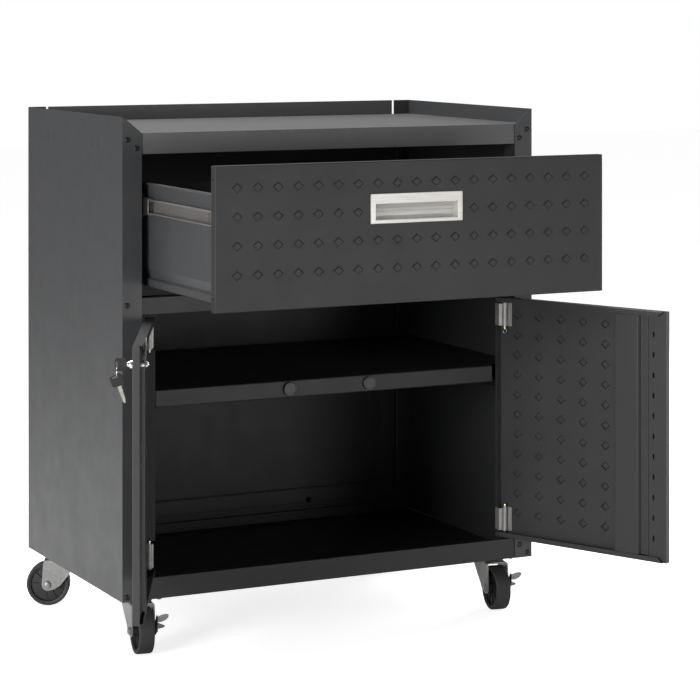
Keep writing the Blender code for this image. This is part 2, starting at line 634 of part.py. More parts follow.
def spare_key(frame):
    spare = outline("spare_key", rounded(-12.0, 8.0, -15.1, 3.4, 5.0), "YZ", -1.5, 1.5,
                    frame, BLACK)
    add(spare, outline, SPARE_BLADE, "YZ", -0.9, 0.9, frame)
    cut(spare, outline, rounded(-8.0, HOLE_R, -HOLE_R, HOLE_R, HOLE_CORNER_R), "YZ", -4, 4, frame)


lock_barrel(DOORS["left"])
LOCK = joint("lock_axis", LOCK_POINT, (LOCK_X - PIN_X, 0 - PIN_Y, LOCK_Z - TOP_Z),
             parent=DOORS["left"])
lock_plug(LOCK)
lock_cam(LOCK)
KEY = joint("key_axis", LOCK_POINT, (0, 0, 0), parent=LOCK)
lock_key(KEY)
RING = joint("ring_axis", RING_TOP, (0, HOLE_Y, -HOLE_DROP), parent=KEY)
key_ring(RING)
# the spare key hangs from the bottom of the ring and is drawn from that point
spare_key(joint("spare_key_axis", (0, 0, 0), (0, 0, -2 * RING_R), turn=(SPARE_TILT, 0, 0),
                parent=RING))

# ---------------------------------------------------------------- casters
# Below the plate a caster is drawn from its swivel axis, with the wheel trailing towards +x.
WHEEL_CENTRE = (TRAIL, 0, WHEEL_Z)
HALF_WHEEL = WHEEL_W / 2
CASTER_PLATE_X, CASTER_PLATE_Y = 36, 30         # half sizes
# discs and pin under the plate: bottom z, top z, radius, segments
PLATE_RODS = ((-6.0, -1.5, 19, 28), (-11.0, -5.0, KINGPIN_R, 16), (-12.6, -10.1, 7.0, 20))
# fork plan (x, y): straight beside the wheel, flaring towards the leading edge
FORK_OUTSIDE = both_sides([(40, 19.7), (14, 19.7), (-26, 25.7)])
FORK_INSIDE = both_sides([(44, 17.5), (14, 17.5), (-30, 24.1)])
# side view (x, z) of the fork's cheeks
FORK_SIDE = [(-24, 0), (33, 0), (34.5, -14), (37, -50), (36.5, -55), (33.5, -60), (27, -62.5),
             (20, -61.5), (8, -57), (3, -52), (-11.5, -33), (-24, -13)]
# (radius, height) of hub, web and tyre
WHEEL_PROFILE = both_sides([
    (AXLE_R + 0.1, HALF_WHEEL + 4), (9.5, HALF_WHEEL + 4), (10.5, HALF_WHEEL - 1.5),
    (25, HALF_WHEEL - 2), (27, HALF_WHEEL - 1), (33, HALF_WHEEL - 0.6), (34, HALF_WHEEL),
    (37.0, HALF_WHEEL - 1.4), (WHEEL_R, HALF_WHEEL - 4.0)])
# side view (x, z) of the brake plate
BRAKE_SIDE = [(17.4, -60), (36, -60), (41, -50), (46, -41), (46, -26.5), (42, -25.5), (32, -39),
              (17.4, -40)]
BRAKE_Y, BRAKE_T = 20.1, 1.6
# ears bent out of the brake's trailing and leading edges: x, then outline (y, z)
BRAKE_EARS = (
    (44.1, [(20.7, -36.5), (20.7, -28.0), (28, -25.2), (37, -24.0), (40.5, -26.0),
            (39.5, -30.0), (35.5, -34.0), (28, -36.6)]),
    (17.9, [(20.7, -55.5), (20.7, -41.5), (26, -43.0), (40, -49.3), (40.5, -51.5),
            (37, -53.2)]),
)


def caster_plate(caster, x, y):
    plate = box(f"{caster}_plate", x - CASTER_PLATE_X, x + CASTER_PLATE_X,
                y - CASTER_PLATE_Y, y + CASTER_PLATE_Y, -2.8, -GAP, look=ZINC)
    for z0, z1, radius, segments in PLATE_RODS:
        add(plate, rod, x, y, "XY", z0, z1, radius, segments=segments)


def caster_fork(caster, swivel):
    """A pressed fork: level crown and two cheeks."""
    fork = outline(f"{caster}_fork", FORK_OUTSIDE, "XY", -64, -7.5, swivel, ZINC)
    cut(fork, outline, FORK_INSIDE, "XY", -70, -9.7, swivel)
    keep(fork, outline, FORK_SIDE, "XZ", -30, 30, swivel)
    add(fork, rod, 0, 0, "XY", -9.4, -6.4, 22.5, swivel, segments=28)
    cut(fork, rod, 0, 0, "XY", -20, 0, KINGPIN_R + 0.1, swivel, segments=16)
    cut(fork, rod, TRAIL, WHEEL_Z, "XZ", -30, 30, AXLE_R + 0.3, swivel, segments=20)


def caster_axle(caster, swivel, head):
    """The axle, its head's inner face at head."""
    profile = [(0, head + 4.4), (3.2, head + 4.4), (6.2, head + 3.4), (6.6, head),
               (AXLE_R, head), (AXLE_R, -20.1), (6.6, -20.1), (6.2, -23.0),
               (AXLE_R - 1, -24.5), (0, -24.5)]
    turned(f"{caster}_axle", profile, *WHEEL_CENTRE, "XZ", swivel, STEEL, 16)


def caster_brake(caster, swivel):
    """A pressed rocker on the axle."""
    frame = joint(f"{caster}_brake_axis", WHEEL_CENTRE, WHEEL_CENTRE, parent=swivel)
    brake = outline(f"{caster}_brake", BRAKE_SIDE, "XZ", BRAKE_Y, BRAKE_Y + BRAKE_T, frame, ZINC)
    for x, ear in BRAKE_EARS:
        add(brake, outline, ear, "YZ", x, x + BRAKE_T, frame)
    cut(brake, rod, TRAIL, WHEEL_Z, "XZ", 16, 26, AXLE_R + 0.1, frame, segments=20)


for name, (x, y, heading) in CASTERS.items():
    caster = f"caster_{name}"
    braked = name.startswith("front")
    caster_plate(caster, x, y)
    swivel = joint(f"{caster}_swivel", (0, 0, 0), world(x, y, 0), turn=(0, 0, heading))
    caster_fork(caster, swivel)
    wheel = joint(f"{caster}_wheel_axis", WHEEL_CENTRE, WHEEL_CENTRE, parent=swivel)
    turned(f"{caster}_wheel", WHEEL_PROFILE, *WHEEL_CENTRE, "XZ", wheel, RUBBER, 32, closed=True)
    # the axle's head stands further out where the brake hangs on it
    caster_axle(caster, swivel, 22.1 if braked else 20.1)
    if braked:
        caster_brake(caster, swivel)
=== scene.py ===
"""Looks for the wheeled tool cabinet: fine meshes, finishes, floor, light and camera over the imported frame.

Pieces are drawn in cabinet millimetres (x from the left side's outer face, y back from the stile fronts, z up from
the body's underside) or, for what swings or rolls, in the moving piece's own closed-position millimetres, and a
matrix takes them to the row frame in metres.
"""
import math

import bmesh
import bpy
from mathutils import Matrix, Vector


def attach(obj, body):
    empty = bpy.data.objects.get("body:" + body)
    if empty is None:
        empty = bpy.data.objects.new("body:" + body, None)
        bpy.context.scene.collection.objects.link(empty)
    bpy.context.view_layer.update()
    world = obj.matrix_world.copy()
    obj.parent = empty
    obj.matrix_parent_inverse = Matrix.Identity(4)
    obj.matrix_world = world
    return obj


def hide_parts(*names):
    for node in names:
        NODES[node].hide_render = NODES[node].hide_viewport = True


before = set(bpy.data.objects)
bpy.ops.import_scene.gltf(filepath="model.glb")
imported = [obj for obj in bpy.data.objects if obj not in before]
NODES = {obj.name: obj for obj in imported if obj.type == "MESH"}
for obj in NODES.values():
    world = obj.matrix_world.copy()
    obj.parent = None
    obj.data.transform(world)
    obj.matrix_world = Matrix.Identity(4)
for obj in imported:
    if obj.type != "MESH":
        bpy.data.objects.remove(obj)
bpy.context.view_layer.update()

SC = bpy.context.scene
T, R4 = Matrix.Translation, Matrix.Rotation

# ---------------------------------------------------------------- placements
CAB = Matrix.Scale(0.001, 4) @ T((-385, -232, -762))
MIR = T((770, 0, 0)) @ Matrix.Scale(-1, 4, (1, 0, 0))
DRAWER = CAB @ T((0, -293, 0))
CAGE = CAB @ T((0, -146.5, 0))


def about(x, y, deg):
    return T((x, y, 0)) @ R4(math.radians(deg), 4, "Z") @ T((-x, -y, 0))


DOOR = {"left": CAB @ about(50, 7.6, -114.9), "right": CAB @ about(720, 7.6, 114.3) @ MIR}
SIDE = {"left": CAB, "right": CAB @ MIR}
LOCK_X, LOCK_Z = 349.5, 426.4
SIDE_TABS = ((357.3, 742.0), (329.4, 741.2), (139.0, 740.8), (109.4, 741.2))
BACK_NUT = (555.0, 37.0)
RING_P = (LOCK_X, -25.4, LOCK_Z - 5.4)
SPARE = DOOR["left"] @ T((LOCK_X, -25.4, LOCK_Z - 5.4 - 12.8)) @ R4(math.radians(21.5), 4, "X")
CASTERS = {"front_left": (45.0, 43.2, -98.5), "front_right": (713.0, 45.6, -98.5), "rear_left": (41.0, 391.0, 153.5), "rear_right": (729.0, 391.0, 26.5)}


# ---------------------------------------------------------------- finishes
def node(nt, kind, **inputs):
    n = nt.nodes.new(kind)
    for k, v in inputs.items():
        if hasattr(n, k):
            setattr(n, k, v)
    return n


def finish_of(name, colour, rough, metal=0.0, grain=900.0, bump=0.06, stretch=(1, 1, 1), shade=0.18, rough_var=0.08, wear=0.0, wear_colour=(0.3, 0.3, 0.3), dust=0.0, spec=0.5, orange=0.0):
    """A procedural finish: grain bump, large soft colour change, roughness change, rubbed spots and a little dust."""
    m = bpy.data.materials.new(name)
    m.use_nodes = True
    nt = m.node_tree
    b = nt.nodes["Principled BSDF"]
    b.inputs["Metallic"].default_value = metal
    b.inputs["Specular IOR Level"].default_value = spec
    tc = nt.nodes.new("ShaderNodeTexCoord")
    mp = nt.nodes.new("ShaderNodeMapping")
    mp.inputs["Scale"].default_value = stretch
    nt.links.new(tc.outputs["Object"], mp.inputs["Vector"])

    def noise(scale, detail=3.0, rough_=0.5, vec=None):
        n = nt.nodes.new("ShaderNodeTexNoise")
        n.inputs["Scale"].default_value = scale
        n.inputs["Detail"].default_value = detail
        n.inputs["Roughness"].default_value = rough_
        nt.links.new(vec if vec is not None else tc.outputs["Object"], n.inputs["Vector"])
        return n

    def ranged(sock, a0, a1, b0, b1):
        r = nt.nodes.new("ShaderNodeMapRange")
        for i, v in enumerate((a0, a1, b0, b1)):
            r.inputs[i + 1].default_value = v
        nt.links.new(sock, r.inputs[0])
        return r.outputs[0]

    def mix(kind, fac, a, b_):
        x = nt.nodes.new("ShaderNodeMix")
        x.data_type = "RGBA"
        x.blend_type = kind
        if isinstance(fac, float):
            x.inputs[0].default_value = fac
        else:
            nt.links.new(fac, x.inputs[0])
        for i, v in ((6, a), (7, b_)):
            if isinstance(v, tuple):
                x.inputs[i].default_value = (*v, 1)
            else:
                nt.links.new(v, x.inputs[i])
        return x.outputs[2]

    big = noise(3.1, 4.0)
    tone = ranged(big.outputs["Fac"], 0.3, 0.7, 1 - shade, 1 + shade)
    grey = nt.nodes.new("ShaderNodeCombineColor")
    for i in range(3):
        nt.links.new(tone, grey.inputs[i])
    col = mix("MULTIPLY", 1.0, tuple(colour), grey.outputs[0])
    fine = noise(grain, 2.0, 0.6, mp.outputs[0])
    speck = ranged(fine.outputs["Fac"], 0.35, 0.65, 0.9, 1.1)
    sp = nt.nodes.new("ShaderNodeCombineColor")
    for i in range(3):
        nt.links.new(speck, sp.inputs[i])
    col = mix("MULTIPLY", 1.0, col, sp.outputs[0])
    if wear:
        rub = noise(34.0, 9.0, 0.72)
        col = mix("MIX", ranged(rub.outputs["Fac"], 0.70, 0.76, 0.0, wear), col, tuple(wear_colour))
    if dust:
        soft = noise(11.0, 6.0, 0.65)
        col = mix("MIX", ranged(soft.outputs["Fac"], 0.5, 0.8, 0.0, dust), col, (0.32, 0.31, 0.29))
    nt.links.new(col, b.inputs["Base Color"])
    mid = noise(22.0, 5.0, 0.6, mp.outputs[0])
    nt.links.new(ranged(mid.outputs["Fac"], 0.3, 0.7, max(0.03, rough - rough_var), rough + rough_var), b.inputs["Roughness"])
    bp = nt.nodes.new("ShaderNodeBump")
    bp.inputs["Strength"].default_value = bump
    bp.inputs["Distance"].default_value = 0.0004
    nt.links.new(fine.outputs["Fac"], bp.inputs["Height"])
    out = bp.outputs[0]
    if orange:
        peel = noise(160.0, 2.0, 0.5)
        b2 = nt.nodes.new("ShaderNodeBump")
        b2.inputs["Strength"].default_value = orange
        b2.inputs["Distance"].default_value = 0.0008
        nt.links.new(peel.outputs["Fac"], b2.inputs["Height"])
        nt.links.new(out, b2.inputs["Normal"])
        out = b2.outputs[0]
    nt.links.new(out, b.inputs["Normal"])
    return m


COAT = dict(grain=1100.0, bump=0.10, orange=0.04, shade=0.035, rough_var=0.04)
M_SIDE = finish_of("coat_side_grey", (0.042, 0.0430, 0.0450), 0.42, wear=0.03, dust=0.012, **COAT)
M_FRONT = finish_of("coat_charcoal", (0.024, 0.0227, 0.0233), 0.44, spec=0.38, wear=0.03, wear_colour=(0.16, 0.16, 0.16), **COAT)
M_TOP = finish_of("coat_worktop", (0.098, 0.098, 0.098), 0.34, wear=0.05, dust=0.02, **COAT)
M_INNER = finish_of("coat_inner", (0.022, 0.0212, 0.0215), 0.5, dust=0.015, **COAT)
# painted light: the door sheets take a lighter copy of the drawer front's charcoal paint (coat_charcoal), lightened to
# stand in for light the door insides don't get from the lamps
M_DOOR_LIT_COPY = finish_of("coat_door_lit_copy", (0.035, 0.035, 0.036), 0.45, wear=0.04, wear_colour=(0.16, 0.16, 0.16), **COAT)
M_TRAY = finish_of("coat_tray", (0.047, 0.0484, 0.0507), 0.44, dust=0.03, **COAT)
M_ZINC = finish_of("zinc_plate", (0.27, 0.267, 0.262), 0.40, 0.45, grain=260.0, bump=0.08, shade=0.07, wear=0.15, wear_colour=(0.26, 0.25, 0.235))
M_SLIDE = finish_of("slide_steel", (0.27, 0.255, 0.245), 0.38, 0.75, grain=700.0, bump=0.08, stretch=(1, 0.03, 1), shade=0.1)
M_HINGE = finish_of("hinge_steel", (0.36, 0.35, 0.33), 0.38, 0.5, grain=500.0, bump=0.08, stretch=(1, 1, 0.1), shade=0.12, wear=0.2, wear_colour=(0.2, 0.18, 0.16))
M_HANDLE = finish_of("satin_nickel", (0.60, 0.585, 0.56), 0.34, 0.45, grain=900.0, bump=0.10, stretch=(0.03, 1, 1), shade=0.05, rough_var=0.05)
M_CHROME = finish_of("lock_chrome", (0.82, 0.82, 0.82), 0.12, 1.0, grain=700.0, bump=0.03, shade=0.03, rough_var=0.04)
M_KEY = finish_of("key_plastic", (0.014, 0.014, 0.014), 0.42, grain=1500.0, bump=0.12, shade=0.12)
M_BLADE = finish_of("key_blade", (0.62, 0.61, 0.52), 0.26, 0.95, grain=900.0, bump=0.10, stretch=(1, 1, 0.08), shade=0.08)
M_BLACK = finish_of("black_plastic", (0.012, 0.012, 0.012), 0.40, grain=1200.0, bump=0.12, shade=0.15)
M_TYRE = finish_of("tyre_rubber", (0.020, 0.020, 0.021), 0.62, grain=700.0, bump=0.25, shade=0.2, dust=0.06, rough_var=0.06)
M_HUB = finish_of("hub_plastic", (0.010, 0.010, 0.011), 0.45, grain=900.0, bump=0.15, shade=0.2, dust=0.03)
M_SCREW = finish_of("black_screw", (0.025, 0.025, 0.026), 0.32, 0.6, grain=900.0, bump=0.08, shade=0.15, wear=0.2, wear_colour=(0.3, 0.3, 0.3))
M_MAGNET = finish_of("magnet_cup", (0.055, 0.053, 0.052), 0.38, 0.5, grain=500.0, bump=0.10, shade=0.12, wear=0.15, wear_colour=(0.25, 0.24, 0.22))


# ---------------------------------------------------------------- mesh tools
def smooth(ob, angle=32, weigh=True):
    ob.data.shade_smooth()
    ob.data.set_sharp_from_angle(angle=math.radians(angle))
    if weigh:
        w = ob.modifiers.new("weighted", "WEIGHTED_NORMAL")
        w.keep_sharp = True
        w.weight = 80


def rounded_edges(ob, width, segments=2, angle=30):
    m = ob.modifiers.new("weld", "WELD")
    m.merge_threshold = 0.00001
    b = ob.modifiers.new("edges", "BEVEL")
    b.width = width / 1000
    b.segments = segments
    b.limit_method = "ANGLE"
    b.angle_limit = math.radians(angle)
    b.use_clamp_overlap = True
    b.harden_normals = False
    ob.data.shade_smooth()
    w = ob.modifiers.new("weighted", "WEIGHTED_NORMAL")
    w.keep_sharp = False
    w.weight = 80


def emit(name, bm, M, body, mat, edge=0.0, segments=2, angle=32, gone=(), weld=True):
    if weld:
        bmesh.ops.remove_doubles(bm, verts=bm.verts, dist=0.0005)
    bmesh.ops.dissolve_degenerate(bm, edges=bm.edges, dist=0.0002)
    bmesh.ops.transform(bm, matrix=M, verts=bm.verts)
    if M.determinant() < 0:
        bmesh.ops.reverse_faces(bm, faces=bm.faces)
    me = bpy.data.meshes.new(name)
    bm.to_mesh(me)
    bm.free()
    ob = bpy.data.objects.new(name, me)
    SC.collection.objects.link(ob)
    me.materials.append(mat)
    if edge:
        rounded_edges(ob, edge, segments)
    else:
        smooth(ob, angle)
    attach(ob, body)
    if gone:
        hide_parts(*gone)
    return ob


def new():
    return bmesh.new()


def faces_out(bm):
    bmesh.ops.recalc_face_normals(bm, faces=bm.faces)
    return bm


def box(bm, x0, x1, y0, y1, z0, z1):
    r = bmesh.ops.create_cube(bm, size=1.0)
    for v in r["verts"]:
        v.co = Vector(((x0 + x1) / 2 + v.co.x * (x1 - x0), (y0 + y1) / 2 + v.co.y * (y1 - y0), (z0 + z1) / 2 + v.co.z * (z1 - z0)))
    return bm


TURN = {"X": Matrix(((0, 0, 1), (0, 1, 0), (1, 0, 0))).to_4x4(), "Y": Matrix(((1, 0, 0), (0, 0, 1), (0, 1, 0))).to_4x4(), "Z": Matrix.Identity(4)}


def lathe(bm, profile, centre, axis, n=48, closed=False):
    """(radius, height) pairs swept about an axis through centre; height runs along the axis."""
    rings = []
    for r, h in profile:
        ring = []
        for k in range(n):
            a = math.tau * k / n
            if r < 1e-6:
                if not ring:
                    ring.append(bm.verts.new(TURN[axis] @ Vector((0, 0, h)) + Vector(centre)))
                else:
                    ring.append(ring[0])
            else:
                ring.append(bm.verts.new(TURN[axis] @ Vector((r * math.cos(a), r * math.sin(a), h)) + Vector(centre)))
        rings.append(ring)
    pairs = list(zip(rings, rings[1:]))
    if closed:
        pairs.append((rings[-1], rings[0]))
    for a, b in pairs:
        for k in range(n):
            q = [a[k], b[k], b[(k + 1) % n], a[(k + 1) % n]]
            q = [v for i, v in enumerate(q) if v not in q[:i]]
            if len(q) > 2:
                bm.faces.new(q)
    return bm


def prism(bm, pts, plane, a0, a1):
    to3 = {"XY": lambda u, v, w: (u, v, w), "YZ": lambda u, v, w: (w, u, v), "XZ": lambda u, v, w: (u, w, v)}[plane]
    lo = [bm.verts.new(to3(u, v, a0)) for u, v in pts]
    hi = [bm.verts.new(to3(u, v, a1)) for u, v in pts]
    n = len(pts)
    fs = [bm.faces.new(lo), bm.faces.new(list(reversed(hi)))]
    for i in range(n):
        fs.append(bm.faces.new([lo[i], hi[i], hi[(i + 1) % n], lo[(i + 1) % n]]))
    bmesh.ops.recalc_face_normals(bm, faces=fs)
    return bm


def fillet(pts, r, seg=4, closed=False):
    """Rounds the corners of a line of points."""
    out = []
    n = len(pts)
    for i, p in enumerate(pts):
        if not closed and i in (0, n - 1):
            out.append(tuple(p))
            continue
        rr = r[i] if isinstance(r, (list, tuple)) else r
        a, b, c = Vector(pts[i - 1]), Vector(p), Vector(pts[(i + 1) % n])
        u, v = (a - b), (c - b)
        lu, lv = u.length, v.length
        if rr <= 0 or lu < 1e-6 or lv < 1e-6:
            out.append(tuple(p))
            continue
        u.normalize()
        v.normalize()
        ang = math.acos(max(-1, min(1, u.dot(v))))
        if ang > math.pi - 0.02:
            out.append(tuple(p))
            continue
        d = min(rr / math.tan(ang / 2), lu * 0.49, lv * 0.49)
        rr = d * math.tan(ang / 2)
        s, e = b + u * d, b + v * d
        mid = (u + v).normalized()
        cen = b + mid * (rr / math.sin(ang / 2))
        a0 = s - cen
        a1 = e - cen
        t0 = math.atan2(a0.y, a0.x)
        t1 = math.atan2(a1.y, a1.x)
        dt = (t1 - t0 + math.pi) % math.tau - math.pi
        for k in range(seg + 1):
            t = t0 + dt * k / seg
            out.append((cen.x + rr * math.cos(t), cen.y + rr * math.sin(t)))
    return out


def offset_line(pts, d):
    out = []
    n = len(pts)
    for i in range(n):
        t = Vector((0.0, 0.0))
        ns = []
        for j in (i - 1, i):
            if 0 <= j < n - 1:
                e = Vector(pts[j + 1]) - Vector(pts[j])
                if e.length > 1e-9:
                    e.normalize()
                    ns.append(Vector((-e.y, e.x)))
        nn = sum(ns, Vector((0, 0)))
        nn.normalize()
        k = 1 / max(0.35, nn.dot(ns[0]))
        out.append((pts[i][0] + nn.x * d * k, pts[i][1] + nn.y * d * k))
    return out


def fold(bm, pts, plane, a0, a1, t, r=1.6, seg=4):
    """A folded sheet of thickness t centred on a line with rounded bends."""
    line = fillet(pts, r, seg)
    return prism(bm, offset_line(line, t / 2) + list(reversed(offset_line(line, -t / 2))), plane, a0, a1)


def tube(bm, pts, r, n=12, closed=False):
    """A round wire along a line of points."""
    pts = [Vector(p) for p in pts]
    m = len(pts)
    rings = []
    up = Vector((0, 0, 1))
    for i, p in enumerate(pts):
        a = pts[i - 1] if (i or closed) else p
        b = pts[(i + 1) % m] if (i < m - 1 or closed) else p
        t = (b - a).normalized()
        if abs(t.dot(up)) > 0.95:
            up = Vector((1, 0, 0))
        side = t.cross(up).normalized()
        up = side.cross(t).normalized()
        rings.append([bm.verts.new(p + side * (r * math.cos(math.tau * k / n)) + up * (r * math.sin(math.tau * k / n))) for k in range(n)])
    ends = list(zip(rings, rings[1:])) + ([(rings[-1], rings[0])] if closed else [])
    fs = []
    for a, b in ends:
        for k in range(n):
            fs.append(bm.faces.new([a[k], b[k], b[(k + 1) % n], a[(k + 1) % n]]))
    if not closed:
        fs.append(bm.faces.new(list(reversed(rings[0]))))
        fs.append(bm.faces.new(rings[-1]))
    bmesh.ops.recalc_face_normals(bm, faces=fs)
    return bm


def ball(bm, c, r, u=12, v=8):
    g = bmesh.ops.create_uvsphere(bm, u_segments=u, v_segments=v, radius=r)
    for w in g["verts"]:
        w.co += Vector(c)
    return bm


def mesh_of(bm, name="tmp"):
    me = bpy.data.meshes.new(name)
    bm.to_mesh(me)
    bm.free()
    return me


def baked(bm, solid=None, cuts=(), joins=()):
    """The mesh after Solidify and exact Booleans, back as a bmesh. Lengths are millimetres."""
    ob = bpy.data.objects.new("tmp", mesh_of(bm))
    SC.collection.objects.link(ob)
    temps = [ob]
    if solid:
        s = ob.modifiers.new("s", "SOLIDIFY")
        s.thickness = solid
        s.offset = -1
        s.use_even_offset = True
        s.thickness_clamp = 0
    for op, group in (("DIFFERENCE", cuts), ("UNION", joins)):
        for c in group:
            co = bpy.data.objects.new("tmpc", mesh_of(faces_out(c)))
            SC.collection.objects.link(co)
            temps.append(co)
            m = ob.modifiers.new("b", "BOOLEAN")
            m.operation = op
            m.solver = "EXACT"
            m.object = co
    bpy.context.view_layer.update()
    me = bpy.data.meshes.new_from_object(ob.evaluated_get(bpy.context.evaluated_depsgraph_get()))
    out = bmesh.new()
    out.from_mesh(me)
    for t in temps:
        bpy.data.objects.remove(t, do_unlink=True)
    return out


def relief_pan(x0, x1, z0, z1, depth, lips, centres, half, top, height, bend=1.6, extra_x=(), extra_z=()):
    """A folded pan as one open surface: its front carries raised diamonds, and its rim turns back into flanges and lips.
    lips are the widths of the turned-in lips on the left, right, bottom and top."""
    cols = sorted({round(c[0], 4) for c in centres})
    rows = sorted({round(c[1], 4) for c in centres})
    have = {(round(c[0], 4), round(c[1], 4)) for c in centres}

    def lines(vals, lo, hi, more):
        mids = [(a + b) / 2 for a, b in zip(vals, vals[1:])]
        return sorted(set([lo + bend] + mids + list(more) + [hi - bend]))

    xs, zs = lines(cols, x0, x1, extra_x), lines(rows, z0, z1, extra_z)
    bm = bmesh.new()
    g = [[bm.verts.new((x, 0, z)) for z in zs] for x in xs]
    a, b = half
    for i in range(len(xs) - 1):
        for j in range(len(zs) - 1):
            c = [(x, z) for x, z in have if xs[i] < x < xs[i + 1] and zs[j] < z < zs[j + 1]]
            p, q, r, s = g[i][j], g[i + 1][j], g[i + 1][j + 1], g[i][j + 1]
            if not c:
                bm.faces.new((p, q, r, s))
                continue
            cx, cz = c[0]
            base = [bm.verts.new(v) for v in ((cx - a - 1.3, 0, cz), (cx, 0, cz - b - 1.2), (cx + a + 1.3, 0, cz), (cx, 0, cz + b + 1.2))]
            foot = [bm.verts.new(v) for v in ((cx - a, 0.30, cz), (cx, 0.30, cz - b), (cx + a, 0.30, cz), (cx, 0.30, cz + b))]
            low = [bm.verts.new(v) for v in ((cx - top[0] - 0.5, -height * 0.82, cz), (cx, -height * 0.82, cz - top[1] - 0.45),
                                             (cx + top[0] + 0.5, -height * 0.82, cz), (cx, -height * 0.82, cz + top[1] + 0.45))]
            high = [bm.verts.new(v) for v in ((cx - top[0], -height, cz), (cx, -height, cz - top[1]), (cx + top[0], -height, cz), (cx, -height, cz + top[1]))]
            lf, dn, rt, up = base
            for f in ((p, dn, lf), (q, rt, dn), (r, up, rt), (s, lf, up), (p, q, dn), (q, r, rt), (r, s, up), (s, p, lf)):
                bm.faces.new(f)
            for ring_a, ring_b in ((base, foot), (foot, low), (low, high)):
                for k in range(4):
                    bm.faces.new((ring_a[k], ring_a[(k + 1) % 4], ring_b[(k + 1) % 4], ring_b[k]))
            bm.faces.new(high)
    nx, nz = len(xs) - 1, len(zs) - 1
    rim = [(i, 0) for i in range(nx)] + [(nx, j) for j in range(nz)] + [(i, nz) for i in range(nx, 0, -1)] + [(0, j) for j in range(nz, 0, -1)]
    steps = []
    for k in range(1, 5):
        t = math.radians(90 * k / 4)
        d = bend - bend * math.sin(t)
        steps.append((d, d, d, d, bend - bend * math.cos(t)))
    steps.append((0, 0, 0, 0, depth - bend))
    for k in range(1, 5):
        t = math.radians(90 * k / 4)
        d = bend - bend * math.cos(t)
        y = depth - bend + bend * math.sin(t)
        steps.append(tuple(d if w else 0 for w in lips) + (y,))
    steps.append(tuple(w for w in lips) + (depth,))
    prev = [g[i][j] for i, j in rim]
    for dl, dr, db, dt, y in steps:
        cur = []
        for i, j in rim:
            x = x0 + dl if i == 0 else x1 - dr if i == nx else max(x0 + dl, min(x1 - dr, xs[i]))
            z = z0 + db if j == 0 else z1 - dt if j == nz else max(z0 + db, min(z1 - dt, zs[j]))
            cur.append(bm.verts.new((x, y, z)))
        m = len(rim)
        for k in range(m):
            bm.faces.new((prev[k], cur[k], cur[(k + 1) % m], prev[(k + 1) % m]))
        prev = cur
    bmesh.ops.remove_doubles(bm, verts=bm.verts, dist=0.001)
    bmesh.ops.dissolve_degenerate(bm, edges=bm.edges, dist=0.001)
    return bm


def domed_screw(bm, c, axis_sign=-1, r=4.7, rise=2.1):
    """A low domed socket screw whose axis is Y; it stands out to the front."""
    s = axis_sign
    x, y, z = c
    prof = [(0, 1.0), (1.5, 1.0), (1.75, 1.2), (1.85, rise * 0.93), (2.3, rise), (3.2, rise * 0.9), (4.1, rise * 0.62), (r, 0.35), (r, 0.0), (0, 0.0)]
    return lathe(bm, [(a, s * h) for a, h in prof], (x, y, z), "Y", 24)


# ---------------------------------------------------------------- drawer front and its pull
PX, PZ = [385.5 + (i - 9) * 34.6 for i in range(19)], [555.7 + 44.9 * j for j in range(4)]
marks = [(x, z) for x in PX for j, z in enumerate(PZ) if not (j == 2 and 7 <= PX.index(x) <= 11)]
pan = relief_pan(38.0, 732.0, 499.5, 724.4, 18.0, (13, 13, 13, 13), marks, (8.9, 7.7), (6.5, 5.6), 1.6)
cut = [box(new(), 309.2, 461.0, -4, 4, 629.6, 660.6)]
for x in (38.0, 732.0):
    for z in (521.0, 703.0):
        cut.append(lathe(new(), [(0, -3), (2.0, -3), (2.0, 3), (0, 3)], (x, 9.0, z), "X", 16))
emit("drawer_front_panel", baked(pan, 1.1, cut), DRAWER, "drawer", M_FRONT, gone=("drawer_front",), angle=25)
for i, x in enumerate((38.9, 731.1)):
    for k, z in enumerate((521.0, 703.0)):
        d = lathe(new(), [(0, 0.3), (1.2, 0.3), (1.7, 0.0), (1.7, -1.6), (0, -1.6)] if i else [(0, -0.3), (1.2, -0.3), (1.7, 0.0), (1.7, 1.6), (0, 1.6)], (x, 9.0, z), "X", 16)
        emit(f"drawer_front_rivet_{i}{k}", faces_out(d), DRAWER, "drawer", M_SCREW)

h = new()
X0, X1, Z0, Z1 = 302.7, 467.4, 626.2, 673.5
IX0, IX1, IZ0, IZ1 = 311.6, 458.7, 632.2, 657.8


def rect_ring(bm, x0, x1, z0, z1, y, r=1.2, seg=3):
    pts = fillet([(x0, z0), (x1, z0), (x1, z1), (x0, z1)], r, seg, closed=True)
    return [bm.verts.new((u, y, v)) for u, v in pts]


def bridge(bm, a, b):
    n = len(a)
    for k in range(n):
        bm.faces.new((a[k], b[k], b[(k + 1) % n], a[(k + 1) % n]))


rings = [rect_ring(h, X0, X1, Z0, Z1, -0.35, 1.4), rect_ring(h, X0, X1, Z0, Z1, -1.5, 1.4), rect_ring(h, X0 + 0.25, X1 - 0.25, Z0 + 0.25, Z1 - 0.25, -2.0, 1.3),
         rect_ring(h, X0 + 0.8, X1 - 0.8, Z0 + 0.8, Z1 - 0.8, -2.25, 1.1), rect_ring(h, IX0 - 0.7, IX1 + 0.7, IZ0 - 0.7, IZ1 + 0.7, -2.25, 1.4),
         rect_ring(h, IX0 - 0.2, IX1 + 0.2, IZ0 - 0.2, IZ1 + 0.2, -2.0, 1.2), rect_ring(h, IX0, IX1, IZ0, IZ1, -1.4, 1.0), rect_ring(h, IX0, IX1, IZ0, IZ1, -0.35, 1.0)]
for a, b in zip(rings, rings[1:]):
    bridge(h, a, b)
bridge(h, rings[-1], rings[0])
faces_out(h)
